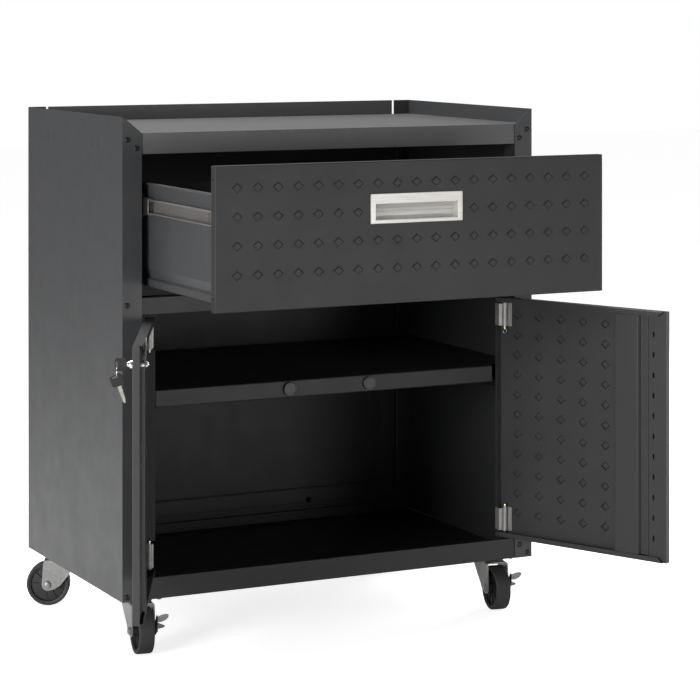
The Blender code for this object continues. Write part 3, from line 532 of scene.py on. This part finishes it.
# the scoop: a curved trough between two end walls, cut out of a block behind the plate
back = box(new(), IX0 - 1.0, IX1 + 1.0, -0.9, 14.2, IZ0 - 1.0, IZ1 + 1.0)
trough = [(-6.0, IZ1 - 0.3), (0.6, IZ1 - 0.5), (5.6, IZ1 - 3.4), (9.6, IZ1 - 8.6), (11.8, IZ1 - 14.2), (12.6, IZ1 - 19.4), (12.0, IZ0 + 3.0), (9.8, IZ0 + 1.0), (6.0, IZ0 + 0.3), (-6.0, IZ0 + 0.3)]
bk_ = baked(faces_out(back), None, [prism(new(), fillet(trough, [0, 1, 6, 8, 8, 6, 2.5, 2.5, 2, 0], 4, closed=True), "YZ", IX0 + 0.5, IX1 - 0.5)])
h.from_mesh(mesh_of(bk_))
emit("drawer_pull", h, DRAWER, "drawer", M_HANDLE, gone=("drawer_handle",), angle=28, weld=False)

# ---------------------------------------------------------------- drawer tray with rolled hems
t = new()
for M_, sfx in ((Matrix.Identity(4), "l"), (MIR, "r")):
    part = new()
    side = [(49.6, 678.6), (49.6, 541.5), (54.2, 527.0), (54.2, 524.4), (49.4, 522.8), (49.4, 511.1), (385.2, 511.1)]
    fold(part, side, "XZ", 19.0, 424.0, 1.1, 1.6, 4)
    tube(part, [(47.75, 21.5, 678.5), (47.75, 422.5, 678.5)], 2.35, 18)
    bmesh.ops.transform(part, matrix=M_, verts=part.verts)
    me_ = mesh_of(faces_out(part))
    t.from_mesh(me_)
for y in (20.2, 423.6):
    wall = new()
    fold(wall, [(49.8, 511.6), (720.2, 511.6)], "XZ", y - 0.6, y + 0.6, 0.9, 0)
    box(wall, 49.8, 720.2, y - 0.6, y + 0.6, 511.6, 670.0)
    t.from_mesh(mesh_of(faces_out(wall)))
emit("drawer_tray_body", t, DRAWER, "drawer", M_TRAY, gone=("drawer_tray",), angle=30, weld=False)

# ---------------------------------------------------------------- slides
for s in ("left", "right"):
    C = SIDE[s]
    D = C @ T((0, 0, 0))
    outer = fold(new(), [(44.6, 657.4), (44.9, 659.5), (43.0, 660.0), (35.9, 659.9), (35.9, 625.1), (43.0, 625.0), (44.9, 625.5), (44.6, 627.6)], "XZ", 19.0, 419.0, 1.1, 2.2, 4)
    for y in (60.0, 398.0):
        fold(outer, [(1.9, 632.0), (1.9, 653.0)], "XZ", y, y + 1.6, 0.6, 0)
        box(outer, 1.8, 35.4, y, y + 1.6, 631.0, 654.0)
    emit(f"slide_outer_{s}_profile", outer, C, "cabinet", M_SLIDE, gone=(f"slide_outer_{s}",), angle=25, weld=False)
    inner = fold(new(), [(40.6, 652.2), (40.2, 653.9), (42.0, 653.9), (46.9, 653.5), (48.0, 652.0), (48.0, 633.0), (46.9, 631.5), (42.0, 631.1), (40.2, 631.1), (40.6, 632.8)], "XZ", 19.5, 413.0, 1.0, 1.8, 4)
    Dm = (DRAWER if s == "left" else DRAWER @ MIR)
    emit(f"slide_inner_{s}_profile", inner, Dm, "drawer", M_SLIDE, gone=(f"slide_inner_{s}",), angle=25)
    tab = new()
    box(tab, 46.2, 47.5, 46.0, 50.0, 634.0, 651.0)
    box(tab, 41.5, 47.0, 46.0, 50.0, 629.6, 631.0)
    lathe(tab, [(0, 47.5), (2.6, 47.5), (3.0, 47.0), (1.2, 46.5), (0, 46.5)], (0, 330.0, 642.5), "X", 20)
    emit(f"slide_inner_{s}_stop_tab", faces_out(tab), Dm, "drawer", M_SLIDE, weld=False)
    Cm = (CAGE if s == "left" else CAGE @ MIR)
    cage = fold(new(), [(45.8, 655.9), (44.0, 657.1), (38.2, 657.1), (37.9, 655.0), (37.9, 630.0), (38.2, 627.9), (44.0, 627.9), (45.8, 629.1)], "XZ", 134.0, 306.3, 1.0, 1.5, 3)
    box(cage, 39.2, 45.6, 131.5, 146.0, 633.0, 652.0)
    prism(cage, fillet([(38.6, 633.5), (39.9, 633.5), (39.9, 651.5), (38.6, 651.5)], 0.5, 3, closed=True), "XZ", 134.2, 306.1)
    emit(f"slide_cage_{s}_strip", cage, Cm, f"slide_cage_{s}", M_BLACK, gone=(f"slide_cage_{s}",), angle=25)
    balls = new()
    for k in range(12):
        for z in (655.6, 629.4):
            ball(balls, (43.2, 136.0 + k * 15.0, z), 1.55, 10, 6)
    emit(f"slide_cage_{s}_balls", balls, Cm, f"slide_cage_{s}", M_CHROME, weld=False)
    # the bright turned end of the cage beside the opening
    tip = fold(new(), [(46.3, 647.0), (46.3, 654.2), (44.6, 655.9), (39.4, 655.9), (37.9, 654.5), (37.9, 630.5), (39.4, 629.1), (44.6, 629.1), (46.3, 630.8), (46.3, 638.0)], "XZ", 128.8, 131.6, 1.2, 1.4, 3)
    fold(tip, [(46.4, 634.0), (46.4, 651.0)], "XZ", 128.8, 134.5, 1.2, 0)
    box(tip, 45.6, 46.9, 128.8, 136.5, 632.5, 652.5)
    emit(f"slide_cage_{s}_tip", tip, Cm, f"slide_cage_{s}", M_CHROME, weld=False)

# ---------------------------------------------------------------- doors
SX, SZ = [36.5 + 35.5 + 45.95 * i for i in range(7)], [80.9 + 34.57 * j for j in range(11)]
for s in ("left", "right"):
    M, body = DOOR[s], f"door_{s}"
    dm = [(x, z) for x in SX for z in SZ if not (s == "left" and x > 340 and z > 410)]
    pan = relief_pan(36.5, 383.5, 38.2, 458.4, 16.5, (0, 0, 8.6, 8.6), dm, (8.9, 7.7), (6.5, 5.6), 1.5, bend=1.4)
    cuts = [box(new(), 33, 39.5, 8.0, 20, z - 2.0, z + 44.0) for z in (48.0, 407.0)]
    cuts.append(box(new(), 377.5, 390, 11.0, 20, 30, 470))
    for zc, sgn in ((38.2, 1), (458.4, -1)):
        cuts.append(prism(new(), [(366.0, zc + sgn * 10.0), (378.6, zc + sgn * 1.0), (390.0, zc + sgn * 1.0), (390.0, zc + sgn * 10.0)], "XZ", 14.6, 18.0))
    if s == "left":
        cuts.append(lathe(new(), [(0, -4), (6.0, -4), (6.0, 6), (0, 6)], (LOCK_X, 0, LOCK_Z), "Y", 32))
    # door skins, stiffeners and lips wear the lightened copy of the charcoal paint, which is painted light
    emit(f"door_{s}_skin", baked(pan, 1.1, cuts), M, body, M_DOOR_LIT_COPY, gone=(f"door_{s}",), angle=25)
    # the stiffener: a raised flat, a shallow groove and a slotted strip along the free edge
    sx = 36.5
    line = [(sx + 239, 2.0), (sx + 247.4, 2.0), (sx + 248, 15.9), (sx + 294, 15.9), (sx + 296.8, 9.0), (sx + 310.0, 9.0), (sx + 310.6, 2.2), (sx + 318, 2.0)]
    st = new()
    prism(st, offset_line(fillet(line, 1.3, 4), 0.5) + list(reversed(offset_line(fillet(line, 1.3, 4), -0.5))), "XY", 47.4, 449.2)
    lip = new()
    edge = [(sx + 311.9, 12.6), (sx + 311.9, 10.45), (sx + 346.2, 10.45)]
    prism(lip, offset_line(fillet(edge, 1.0, 3), 0.5) + list(reversed(offset_line(fillet(edge, 1.0, 3), -0.5))), "XY", 39.4, 457.2)
    cuts, lip_cuts = [], []
    for j in range(11):
        z = 77.0 + 34.2 * j
        lip_cuts.append(prism(new(), fillet([(sx + 320.4, z - 4.6), (sx + 323.6, z - 4.6), (sx + 323.6, z + 4.6), (sx + 320.4, z + 4.6)], 1.4, 4, closed=True), "XZ", 7.5, 13.0))
    if s == "left":
        cuts.append(lathe(new(), [(0, 0), (7.2, 0), (7.2, 20), (0, 20)], (LOCK_X, 0, LOCK_Z), "Y", 28))
        lip_cuts.append(box(new(), LOCK_X - 10, LOCK_X + 7.2, 5, 20, LOCK_Z - 7.2, LOCK_Z + 7.2))
    emit(f"door_{s}_stiffener_channel", baked(st, None, cuts), M, body, M_DOOR_LIT_COPY, gone=(f"door_stiffener_{s}",), angle=25)
    emit(f"door_{s}_slotted_lip", baked(lip, None, lip_cuts), M, body, M_DOOR_LIT_COPY, angle=25)

# ---------------------------------------------------------------- hinges
for s in ("left", "right"):
    for level, z0 in (("bottom", 48.0), ("top", 407.0)):
        tag = f"hinge_{s}_{level}"
        third = 14.0
        leaf = fold(new(), [(35.1, 42.0), (35.1, 27.0), (58.6, 27.0), (58.9, 10.4), (53.5, 10.35)], "XY", z0 + 1.5, z0 + 39.5, 1.5, 2.6, 5)
        for z in (z0 + 10.0, z0 + 31.0):
            lathe(leaf, [(0, 37.3), (1.6, 37.3), (2.6, 36.9), (2.9, 35.9), (0, 35.9)], (0, 35.0, z), "X", 18)
        emit(f"{tag}_gooseneck", leaf, SIDE[s], "cabinet", M_HINGE, gone=(f"{tag}_cabinet_leaf",), angle=28, weld=False)
        kn = new()
        lathe(kn, [(2.15, z0 + third + 0.3), (3.6, z0 + third + 0.3), (3.85, z0 + third + 0.7), (3.85, z0 + 2 * third - 0.7), (3.6, z0 + 2 * third - 0.3), (2.15, z0 + 2 * third - 0.3)], (50, 7.6, 0), "Z", 28, True)
        emit(f"{tag}_middle_knuckle", kn, SIDE[s], "cabinet", M_HINGE)
        dl = new()
        box(dl, 47.8, 61.0, 1.55, 3.0, z0 + 0.3, z0 + 41.7)
        emit(f"{tag}_door_plate", dl, DOOR[s], f"door_{s}", M_HINGE, edge=0.4, gone=(f"{tag}_door_leaf",))
        ks = new()
        for a, b in ((z0 + 0.2, z0 + third - 0.3), (z0 + 2 * third + 0.3, z0 + 41.8)):
            lathe(ks, [(2.15, a), (3.6, a), (3.85, a + 0.4), (3.85, b - 0.4), (3.6, b), (2.15, b)], (50, 7.6, 0), "Z", 28, True)
            box(ks, 48.3, 51.7, 2.4, 5.4, a + 0.2, b - 0.2)
        emit(f"{tag}_door_knuckles", ks, DOOR[s], f"door_{s}", M_HINGE, weld=False)
        pn = lathe(new(), [(0, z0 + 47.8), (1.4, z0 + 47.8), (2.5, z0 + 47.2), (2.8, z0 + 46.2), (2.6, z0 + 45.2), (2.0, z0 + 44.8), (2.0, z0 - 3.6), (1.4, z0 - 4.6), (0, z0 - 4.6)], (50, 7.6, 0), "Z", 24)
        emit(f"{tag}_pin_turned", faces_out(pn), SIDE[s], "cabinet", M_CHROME, gone=(f"{tag}_pin",))

loop = tube(new(), [(50 + 3.6 * math.sin(math.tau * k / 32), 7.6 - 0.5, 398.6 + 3.6 * math.cos(math.tau * k / 32)) for k in range(32)], 0.6, 10, True)
emit("hinge_right_top_loop", loop, SIDE["right"], "cabinet", M_CHROME)

# ---------------------------------------------------------------- lock and keys
L = DOOR["left"]
bar = lathe(new(), [(4.2, -5.4), (5.2, -5.7), (6.0, -5.2), (6.25, -4.2), (6.25, -0.35), (5.45, -0.35), (5.45, 16.4), (4.2, 16.4)], (LOCK_X, 0, LOCK_Z), "Y", 40, True)
emit("lock_barrel_turned", faces_out(bar), L, "door_left", M_CHROME, gone=("lock_barrel",), angle=35)
pl = lathe(new(), [(0, 23.4), (1.6, 23.4), (2.3, 22.8), (2.4, 19.4), (2.4, 16.9), (4.1, 16.8), (4.1, -8.4), (3.7, -9.1), (1.2, -9.25), (0, -9.25)], (LOCK_X, 0, LOCK_Z), "Y", 36)
emit("lock_plug_turned", baked(faces_out(pl), None, [box(new(), LOCK_X - 1.0, LOCK_X + 1.0, -13, 8.8, LOCK_Z - 2.9, LOCK_Z + 2.9)]), L, "lock", M_CHROME, gone=("lock_plug",), angle=35)


def tilted(pts, deg):
    a = math.radians(deg)
    return [(LOCK_X + u * math.cos(a) - v * math.sin(a), LOCK_Z + u * math.sin(a) + v * math.cos(a)) for u, v in pts]


cam = fillet([(-5.5, -6), (5.5, -6), (5.2, 28), (3.6, 43.3), (-3.6, 43.3), (-5.2, 28)], 2.6, 5, closed=True)
emit("lock_cam_plate", baked(prism(new(), tilted(cam, 33.0), "XZ", 17.2, 18.8), None, [lathe(new(), [(0, 15), (2.6, 15), (2.6, 21), (0, 21)], (LOCK_X, 0, LOCK_Z), "Y", 24)]), L, "lock", M_HINGE,
     edge=0.3, gone=("lock_cam",))
nut = lathe(new(), [(2.45, 21.6), (3.9, 21.6), (4.4, 21.1), (4.4, 19.4), (3.9, 18.95), (2.45, 18.95)], (LOCK_X, 0, LOCK_Z), "Y", 6, True)
emit("lock_cam_nut", faces_out(nut), L, "lock", M_CHROME, edge=0.2)


def key_head(u0, u1, v0, v1, slot, M, body, name, x):
    rim = prism(new(), fillet([(u0, v0), (u1, v0), (u1, v1), (u0, v1)], 4.8, 6, closed=True), "YZ", x - 1.45, x + 1.45)
    s0, s1, s2, s3 = slot
    inset = []
    for sx_ in (x - 2.2, x + 1.05):
        inset.append(prism(new(), fillet([(u0 + 6.5, v0 + 2.4), (u1 - 2.2, v0 + 2.4), (u1 - 2.2, v1 - 2.4), (u0 + 6.5, v1 - 2.4)] if body == "key" else
                                         [(u0 + 2.4, v0 + 2.2), (u1 - 2.4, v0 + 2.2), (u1 - 2.4, v1 - 6.5), (u0 + 2.4, v1 - 6.5)], 3.0, 5, closed=True), "YZ", sx_, sx_ + 1.15))
    return baked(rim, None, [prism(new(), fillet([(s0, s2), (s1, s2), (s1, s3), (s0, s3)], 1.85, 5, closed=True), "YZ", x - 4, x + 4)] + inset)


emit("key_head", key_head(-28.5, -10.3, LOCK_Z - 9.9, LOCK_Z + 9.9, (-27.4, -23.4, LOCK_Z - 7.4, LOCK_Z + 4.5), L, "key", "k", LOCK_X), L, "key", M_KEY, edge=0.45, gone=("lock_key",))
kb = box(new(), LOCK_X - 0.75, LOCK_X + 0.75, -10.6, 6.9, LOCK_Z - 2.5, LOCK_Z + 2.5)
emit("key_blade_in_plug", kb, L, "key", M_BLADE, edge=0.25)
ring = tube(new(), [(LOCK_X + 6.4 * math.sin(math.tau * k / 48), -25.4 + 0.25 * math.sin(math.tau * k / 96), LOCK_Z - 5.4 - 6.4 + 6.4 * math.cos(math.tau * k / 48)) for k in range(48)], 0.62, 12, True)
emit("key_ring_wire", ring, L, "key_ring", M_CHROME, gone=("key_ring",))
emit("spare_key_head", key_head(-11.9, 7.9, -15.0, 3.3, (-8.0, 2.0, -2.0, 2.0), SPARE, "spare_key", "s", 0.0), SPARE, "spare_key", M_KEY, edge=0.45, gone=("spare_key",))
blade = [(-5, -14.6), (1, -14.6), (1, -22.0), (1, -24.6), (-0.2, -26.2), (0.5, -27.4), (0.5, -29.2), (-0.6, -30.4), (0.2, -31.6), (0.2, -33.6), (-0.4, -34.8), (0.1, -35.8), (-0.7, -38.2), (-1.8, -41.6), (-3.8, -41.8), (-5.0, -39.6)]
groove = [box(new(), 0.45, 2.0, -3.9, -2.9, -40, -15.6), box(new(), -2.0, -0.45, -2.9, -1.9, -40, -15.6)]
emit("spare_key_blade", baked(prism(new(), blade, "YZ", -0.85, 0.85), None, groove), SPARE, "spare_key", M_BLADE, edge=0.15)

# ---------------------------------------------------------------- shelf, magnets and side frames
sh = fold(new(), [(47.0, 309.3), (22.6, 309.3), (22.6, 337.0), (450.4, 337.0), (450.4, 309.3), (436.0, 309.3)], "YZ", 4.5, 765.5, 1.2, 1.8, 4)
emit("shelf_folded", baked(sh, None, [box(new(), -5, 68, 10, 46, 300, 345), box(new(), 702, 775, 10, 46, 300, 345)]), CAB, "shelf", M_FRONT, gone=("shelf",), angle=28)
for s, x in (("left", 309.8), ("right", 460.2)):
    mg = lathe(new(), [(0, 17.5), (9.2, 17.5), (9.5, 17.9), (9.9, 17.9), (10.3, 17.35), (11.4, 17.35), (12.0, 17.9), (12.0, 21.6), (0, 21.6)], (x, 0, 323.15), "Y", 48)
    emit(f"magnet_{s}_cup", faces_out(mg), CAB, "shelf", M_MAGNET, gone=(f"magnet_{s}",), angle=30)

for s in ("left", "right"):
    ledge = fold(new(), [(45, 308.0), (2.3, 308.0), (2.3, 281.0)], "XZ", 44.5, 456.5, 1.1, 1.6, 4)
    up = fold(new(), [(18.5, 459.8), (18.5, 453.0), (32.0, 453.0), (32.0, 459.8)], "XY", 34.0, 699.6, 1.1, 1.4, 4)
    holes = [lathe(new(), [(0, 451), (2.6, 451), (2.6, 455), (0, 455)], (25.2, 0, 60.0 + 24.5 * k), "Y", 16) for k in range(26)]
    emit(f"side_frame_{s}_ledge", ledge, SIDE[s], "cabinet", M_INNER, gone=(f"shelf_frame_{s}",), angle=28)
    emit(f"side_frame_{s}_upright", baked(up, None, holes), SIDE[s], "cabinet", M_INNER, angle=28)

# ---------------------------------------------------------------- body sheets keep their CAD shapes, with softened folds
for n in ("side_panel_left", "side_panel_right"):
    NODES[n].data.materials.clear()
    NODES[n].data.materials.append(M_SIDE)
    rounded_edges(NODES[n], 0.55, 2)
for n, m in (("worktop", M_TOP), ("mid_rail", M_FRONT), ("bottom_pan", M_FRONT), ("back_panel", M_INNER)):
    NODES[n].data.materials.clear()
    NODES[n].data.materials.append(m)
    rounded_edges(NODES[n], 0.55, 2)

# the back panel's pressed border and the pan's inner ledge
bk = new()
for pts in ([(60, 60), (710, 60), (710, 735), (60, 735)],):
    tube(bk, [(x, 461.0, z) for x, z in fillet(pts, 24, 8, closed=True)], 1.8, 10, True)
emit("back_panel_bead", bk, CAB, "cabinet", M_INNER)
lg = fold(new(), [(459.2, 20.0), (452.5, 20.0), (452.5, 3.0)], "YZ", 40, 730, 1.1, 1.5, 4)
emit("bottom_pan_ledge", lg, CAB, "cabinet", M_FRONT)

# the pressed tabs near the top of each side and a fastener low on the back
for s in ("left", "right"):
    tabs = new()
    for y, z in SIDE_TABS:
        prism(tabs, fillet([(y - 0.8, z - 8), (y + 0.8, z - 8), (y + 0.8, z + 8), (y - 0.8, z + 8)], 0.7, 4, closed=True), "YZ", -0.55, 0.3)
    emit(f"side_{s}_pressed_tabs", tabs, SIDE[s], "cabinet", M_SIDE, edge=0.25)
nut = lathe(new(), [(0, 452.5), (2.4, 452.5), (3.4, 453.4), (4.2, 456.5), (5.2, 457.5), (5.2, 460.9), (0, 460.9)], (BACK_NUT[0], 0, BACK_NUT[1]), "Y", 20)
emit("back_panel_fastener", faces_out(nut), CAB, "cabinet", M_SCREW)

# stile screws and panel screws at the back
FRONT_SCREWS = [(9.0, 751.6), (24.6, 737.3), (8.3, 482.1), (8.0, 7.9), (23.8, 23.0), (760.5, 752.3), (745.5, 737.6), (761.7, 482.0), (746.2, 23.1), (761.4, 8.2)]
for i, (x, z) in enumerate(FRONT_SCREWS):
    emit(f"stile_screw_{i:02d}", faces_out(domed_screw(new(), (x, 0.0, z))), CAB, "cabinet", M_SCREW, angle=40)
for i, (x, z) in enumerate([(x, z) for x in (16.5, 753.5) for z in (30.0, 210.0, 400.0, 590.0, 745.0)]):
    emit(f"back_screw_{i:02d}", faces_out(domed_screw(new(), (x, 464.0, z), 1, 4.2, 1.8)), CAB, "cabinet", M_SCREW, angle=40)

# ---------------------------------------------------------------- casters
for name, (sx, sy, heading) in CASTERS.items():
    fx = CAB @ T((sx, sy, 0))
    sw = fx @ R4(math.radians(heading), 4, "Z")
    tag, bs, bw = f"caster_{name}", f"caster_{name}_swivel", f"caster_{name}_wheel"
    pl = prism(new(), fillet([(-36, -30), (36, -30), (36, 30), (-36, 30)], 5, 5, closed=True), "XY", -2.8, -0.35)
    emit(f"{tag}_top_plate", pl, fx, "cabinet", M_ZINC, edge=0.4, gone=(f"{tag}_plate",))
    race = lathe(new(), [(0, -2.6), (20.5, -2.6), (22.0, -3.2), (22.6, -4.6), (21.4, -6.0), (19.0, -6.1), (4.2, -6.1), (4.2, -10.2), (6.2, -10.2), (6.9, -11.0), (6.2, -12.3), (0, -12.5)], (0, 0, 0), "Z", 40)
    emit(f"{tag}_upper_race", faces_out(race), fx, "cabinet", M_ZINC, angle=30)
    for k, (bx, by) in enumerate(((-28, -22), (28, -22), (28, 22), (-28, 22))):
        hx = lathe(new(), [(0, -6.0), (3.6, -6.0), (4.3, -5.4), (4.3, -2.9), (0, -2.9)], (bx, by, 0), "Z", 6)
        emit(f"{tag}_plate_bolt_{k}", faces_out(hx), fx, "cabinet", M_ZINC, edge=0.25)
    cheek = fillet([(-24, -8.6), (33, -8.6), (34.6, -16), (37.0, -51), (35.5, -59.5), (27, -62.6), (16, -60.5), (4.5, -53.5), (-11.5, -33), (-24, -14.5)], [1, 1.5, 6, 8, 7, 9, 12, 10, 12, 3], 5, closed=True)
    web = new()
    fold(web, [(-18.6, -64.0), (-18.6, -8.7), (18.6, -8.7), (18.6, -64.0)], "YZ", -26, 40, 2.1, 3.2, 5)
    cut = 0.001 * 14
    bmesh.ops.bisect_plane(web, geom=web.verts[:] + web.edges[:] + web.faces[:], plane_co=(cut, 0, 0), plane_no=(1, 0, 0))
    for v in web.verts:
        if v.co.x < cut - 1e-6 and abs(v.co.y) > 0.012:
            v.co.y += math.copysign((cut - v.co.x) * 0.15, v.co.y)
    fork = baked(web, None, [lathe(new(), [(0, -20), (4.35, -20), (4.35, 0), (0, 0)], (0, 0, 0), "Z", 32)])
    keep = bpy.data.objects.new("tmpk", mesh_of(prism(new(), [(u, v + (6 if v > -9 else 0)) for u, v in cheek], "XZ", -30, 30)))
    body_ob = bpy.data.objects.new("tmpf", mesh_of(fork))
    SC.collection.objects.link(keep)
    SC.collection.objects.link(body_ob)
    mo = body_ob.modifiers.new("k", "BOOLEAN")
    mo.operation, mo.solver, mo.object = "INTERSECT", "EXACT", keep
    bpy.context.view_layer.update()
    fb = bmesh.new()
    fb.from_mesh(bpy.data.meshes.new_from_object(body_ob.evaluated_get(bpy.context.evaluated_depsgraph_get())))
    bpy.data.objects.remove(keep, do_unlink=True)
    bpy.data.objects.remove(body_ob, do_unlink=True)
    emit(f"{tag}_fork_pressed", fb, sw, bs, M_ZINC, edge=0.3, gone=(f"{tag}_fork",))
    lr = lathe(new(), [(4.3, -6.5), (20.6, -6.5), (22.2, -7.2), (22.6, -8.4), (21.6, -9.7), (4.3, -9.7)], (0, 0, 0), "Z", 40, True)
    emit(f"{tag}_lower_race", faces_out(lr), sw, bs, M_ZINC, angle=30)
    c = (27, 0, -52)
    tyre = lathe(new(), [(32.4, 11.9), (33.4, 12.7), (35.0, 13.0), (36.4, 12.9), (37.3, 12.2), (37.8, 11.0), (37.95, 8.5), (38.0, 0.0), (37.95, -8.5), (37.8, -11.0), (37.3, -12.2), (36.4, -12.9),
                         (35.0, -13.0), (33.4, -12.7), (32.4, -11.9)], c, "Y", 72, True)
    emit(f"{tag}_tyre", faces_out(tyre), sw, bw, M_TYRE, angle=40, gone=(f"{tag}_wheel",))
    hub = lathe(new(), [(4.15, 16.9), (8.6, 16.9), (9.4, 16.2), (9.6, 7.6), (30.0, 7.0), (30.8, 11.6), (32.6, 12.0), (32.6, -12.0), (30.8, -11.6), (30.0, -7.0), (9.6, -7.6), (9.4, -16.2), (8.6, -16.9), (4.15, -16.9)], c, "Y", 48, True)
    faces_out(hub)
    for k in range(9):
        a = math.tau * k / 9
        rib = new()
        box(rib, 9.2, 31.0, -9.8, 9.8, -0.9, 0.9)
        bmesh.ops.transform(rib, matrix=T(c) @ R4(a, 4, "Y"), verts=rib.verts)
        hub.from_mesh(mesh_of(rib))
    emit(f"{tag}_hub", hub, sw, bw, M_HUB, weld=False)
    out = 26.3 if name.startswith("front") else 24.4
    ax = lathe(new(), [(0, out), (2.6, out), (5.4, out - 0.9), (6.4, out - 2.4), (6.4, out - 4.2), (4.0, out - 4.3), (4.0, -20.2), (6.4, -20.2), (6.4, -22.6), (4.6, -23.0), (4.2, -24.4), (0, -24.4)], c, "Y", 24)
    emit(f"{tag}_axle_bolt", faces_out(ax), sw, bs, M_ZINC, gone=(f"{tag}_axle",), angle=35)
    if name.startswith("front"):
        bb = f"caster_{name}_brake"
        base = prism(new(), fillet([(17.4, -60), (36, -60), (41, -50), (46, -41), (46, -26.5), (42, -25.5), (32, -39), (17.4, -40)], [2, 5, 4, 3, 1, 2, 5, 2], 4, closed=True), "XZ", 20.15, 21.65)
        emit(f"{tag}_brake_rocker", baked(base, None, [lathe(new(), [(0, 14), (4.3, 14), (4.3, 26), (0, 26)], c, "Y", 24)]), sw, bb, M_BLACK, edge=0.25, gone=(bb,))
        ear = prism(new(), fillet([(21.0, -36.6), (21.0, -28.0), (28, -25.2), (37, -24.0), (40.5, -26.0), (39.5, -30.0), (35.5, -34.0), (28, -36.8)], [1, 2, 8, 3, 2, 3, 4, 6], 5, closed=True), "YZ", 44.2, 45.7)
        emit(f"{tag}_brake_pedal", ear, sw, bb, M_ZINC, edge=0.35)
        low = prism(new(), fillet([(21.0, -55.4), (21.0, -41.6), (26, -43.0), (39.5, -49.2), (40.5, -51.5), (37, -53.2)], [1, 1.5, 5, 2.5, 1.5, 4], 5, closed=True), "YZ", 17.9, 19.4)
        emit(f"{tag}_brake_release", low, sw, bb, M_ZINC, edge=0.35)

# every CAD node still shown needs a finish
for n, ob in NODES.items():
    if not ob.hide_render and not any(m and m.name.startswith(("coat", "zinc", "hinge", "black")) for m in ob.data.materials):
        ob.data.materials.clear()
        ob.data.materials.append(M_ZINC)

# ---------------------------------------------------------------- floor, light, camera
fl = bpy.data.meshes.new("floor")
bmf = bmesh.new()
bmesh.ops.create_grid(bmf, x_segments=1, y_segments=1, size=14)
bmf.to_mesh(fl)
bmf.free()
floor = bpy.data.objects.new("floor", fl)
floor.location = (0, 0, -0.8521)
SC.collection.objects.link(floor)
fm = bpy.data.materials.new("floor_white")
fm.use_nodes = True
fb = fm.node_tree.nodes["Principled BSDF"]
fb.inputs["Base Color"].default_value = (0.90, 0.90, 0.90, 1)
fb.inputs["Roughness"].default_value = 0.75
fb.inputs["Specular IOR Level"].default_value = 0.1
# a touch of grain, and a lift that only the camera sees, so the floor reads as pale paper under a soft shadow
fn = fm.node_tree.nodes.new("ShaderNodeTexNoise")
fn.inputs["Scale"].default_value = 60
fr = fm.node_tree.nodes.new("ShaderNodeMapRange")
fr.inputs[3].default_value = 0.89
fr.inputs[4].default_value = 0.91
fm.node_tree.links.new(fn.outputs["Fac"], fr.inputs[0])
fc = fm.node_tree.nodes.new("ShaderNodeCombineColor")
for i in range(3):
    fm.node_tree.links.new(fr.outputs[0], fc.inputs[i])
fm.node_tree.links.new(fc.outputs[0], fb.inputs["Base Color"])
fp = fm.node_tree.nodes.new("ShaderNodeLightPath")
fe = fm.node_tree.nodes.new("ShaderNodeMath")
fe.operation = "MULTIPLY"
fe.inputs[1].default_value = 0.78
fm.node_tree.links.new(fp.outputs["Is Camera Ray"], fe.inputs[0])
fb.inputs["Emission Color"].default_value = (1, 1, 1, 1)
fm.node_tree.links.new(fe.outputs[0], fb.inputs["Emission Strength"])
fl.materials.append(fm)

world = bpy.data.worlds.new("studio")
world.use_nodes = True
wt = world.node_tree
bg = wt.nodes["Background"]
bg.inputs[0].default_value = (1.0, 1.0, 1.0, 1)
lp = wt.nodes.new("ShaderNodeLightPath")
mr = wt.nodes.new("ShaderNodeMapRange")
mr.inputs[3].default_value = 0.225
mr.inputs[4].default_value = 1.0
wt.links.new(lp.outputs["Is Camera Ray"], mr.inputs[0])
wt.links.new(mr.outputs[0], bg.inputs[1])
SC.world = world


def soft(name, loc, aim, size, power, spread=180):
    d = bpy.data.lights.new(name, "AREA")
    d.shape = "RECTANGLE"
    d.size, d.size_y = size
    d.energy = power
    d.spread = math.radians(spread)
    o = bpy.data.objects.new(name, d)
    SC.collection.objects.link(o)
    o.location = loc
    o.rotation_euler = (Vector(aim) - Vector(loc)).to_track_quat("-Z", "Y").to_euler()
    o.visible_camera = False
    return o


soft("key", (-3.5, -2.1, 0.2), (0.1, -0.3, -0.4), (1.4, 1.4), 100)
soft("top", (-0.5, 0.7, 2.3), (-0.1, 0.1, 0.0), (1.2, 1.2), 105)
soft("side", (-3.2, -0.9, -0.75), (-0.4, -0.3, -0.65), (1.3, 0.9), 4)
soft("low_front", (1.3, -4.1, -0.5), (0.1, -0.3, -0.4), (1.3, 0.8), 17)
soft("rim_right", (3.2, -1.9, -0.75), (0.1, -0.5, -0.25), (0.8, 0.8), 26)
soft("right_fill", (3.1, 1.3, 0.3), (0.3, 0.0, -0.4), (1.4, 1.4), 80)

SC.view_settings.view_transform = "Standard"
SC.view_settings.look = "None"

cd = bpy.data.cameras.new("camera")
cd.sensor_width = 36.0
cd.lens = 36.0 * 2477.58 / 700
cd.clip_end = 60
cam_ob = bpy.data.objects.new("camera", cd)
SC.collection.objects.link(cam_ob)
cam_ob.location = (-1.8449, -3.9973, 0.2051)
cam_ob.rotation_euler = (math.radians(90), 0, -0.4615)
SC.camera = cam_ob
# a level lens with the picture shifted down; the shift applies only where the camera stands for the photo's view
dv = cd.driver_add("shift_y").driver
dv.type = "SCRIPTED"
v = dv.variables.new()
v.name = "x"
v.type = "SINGLE_PROP"
v.targets[0].id = cam_ob
v.targets[0].data_path = "location[0]"
dv.expression = "-0.489750 * (abs(x + 1.8449) < 0.0002)"
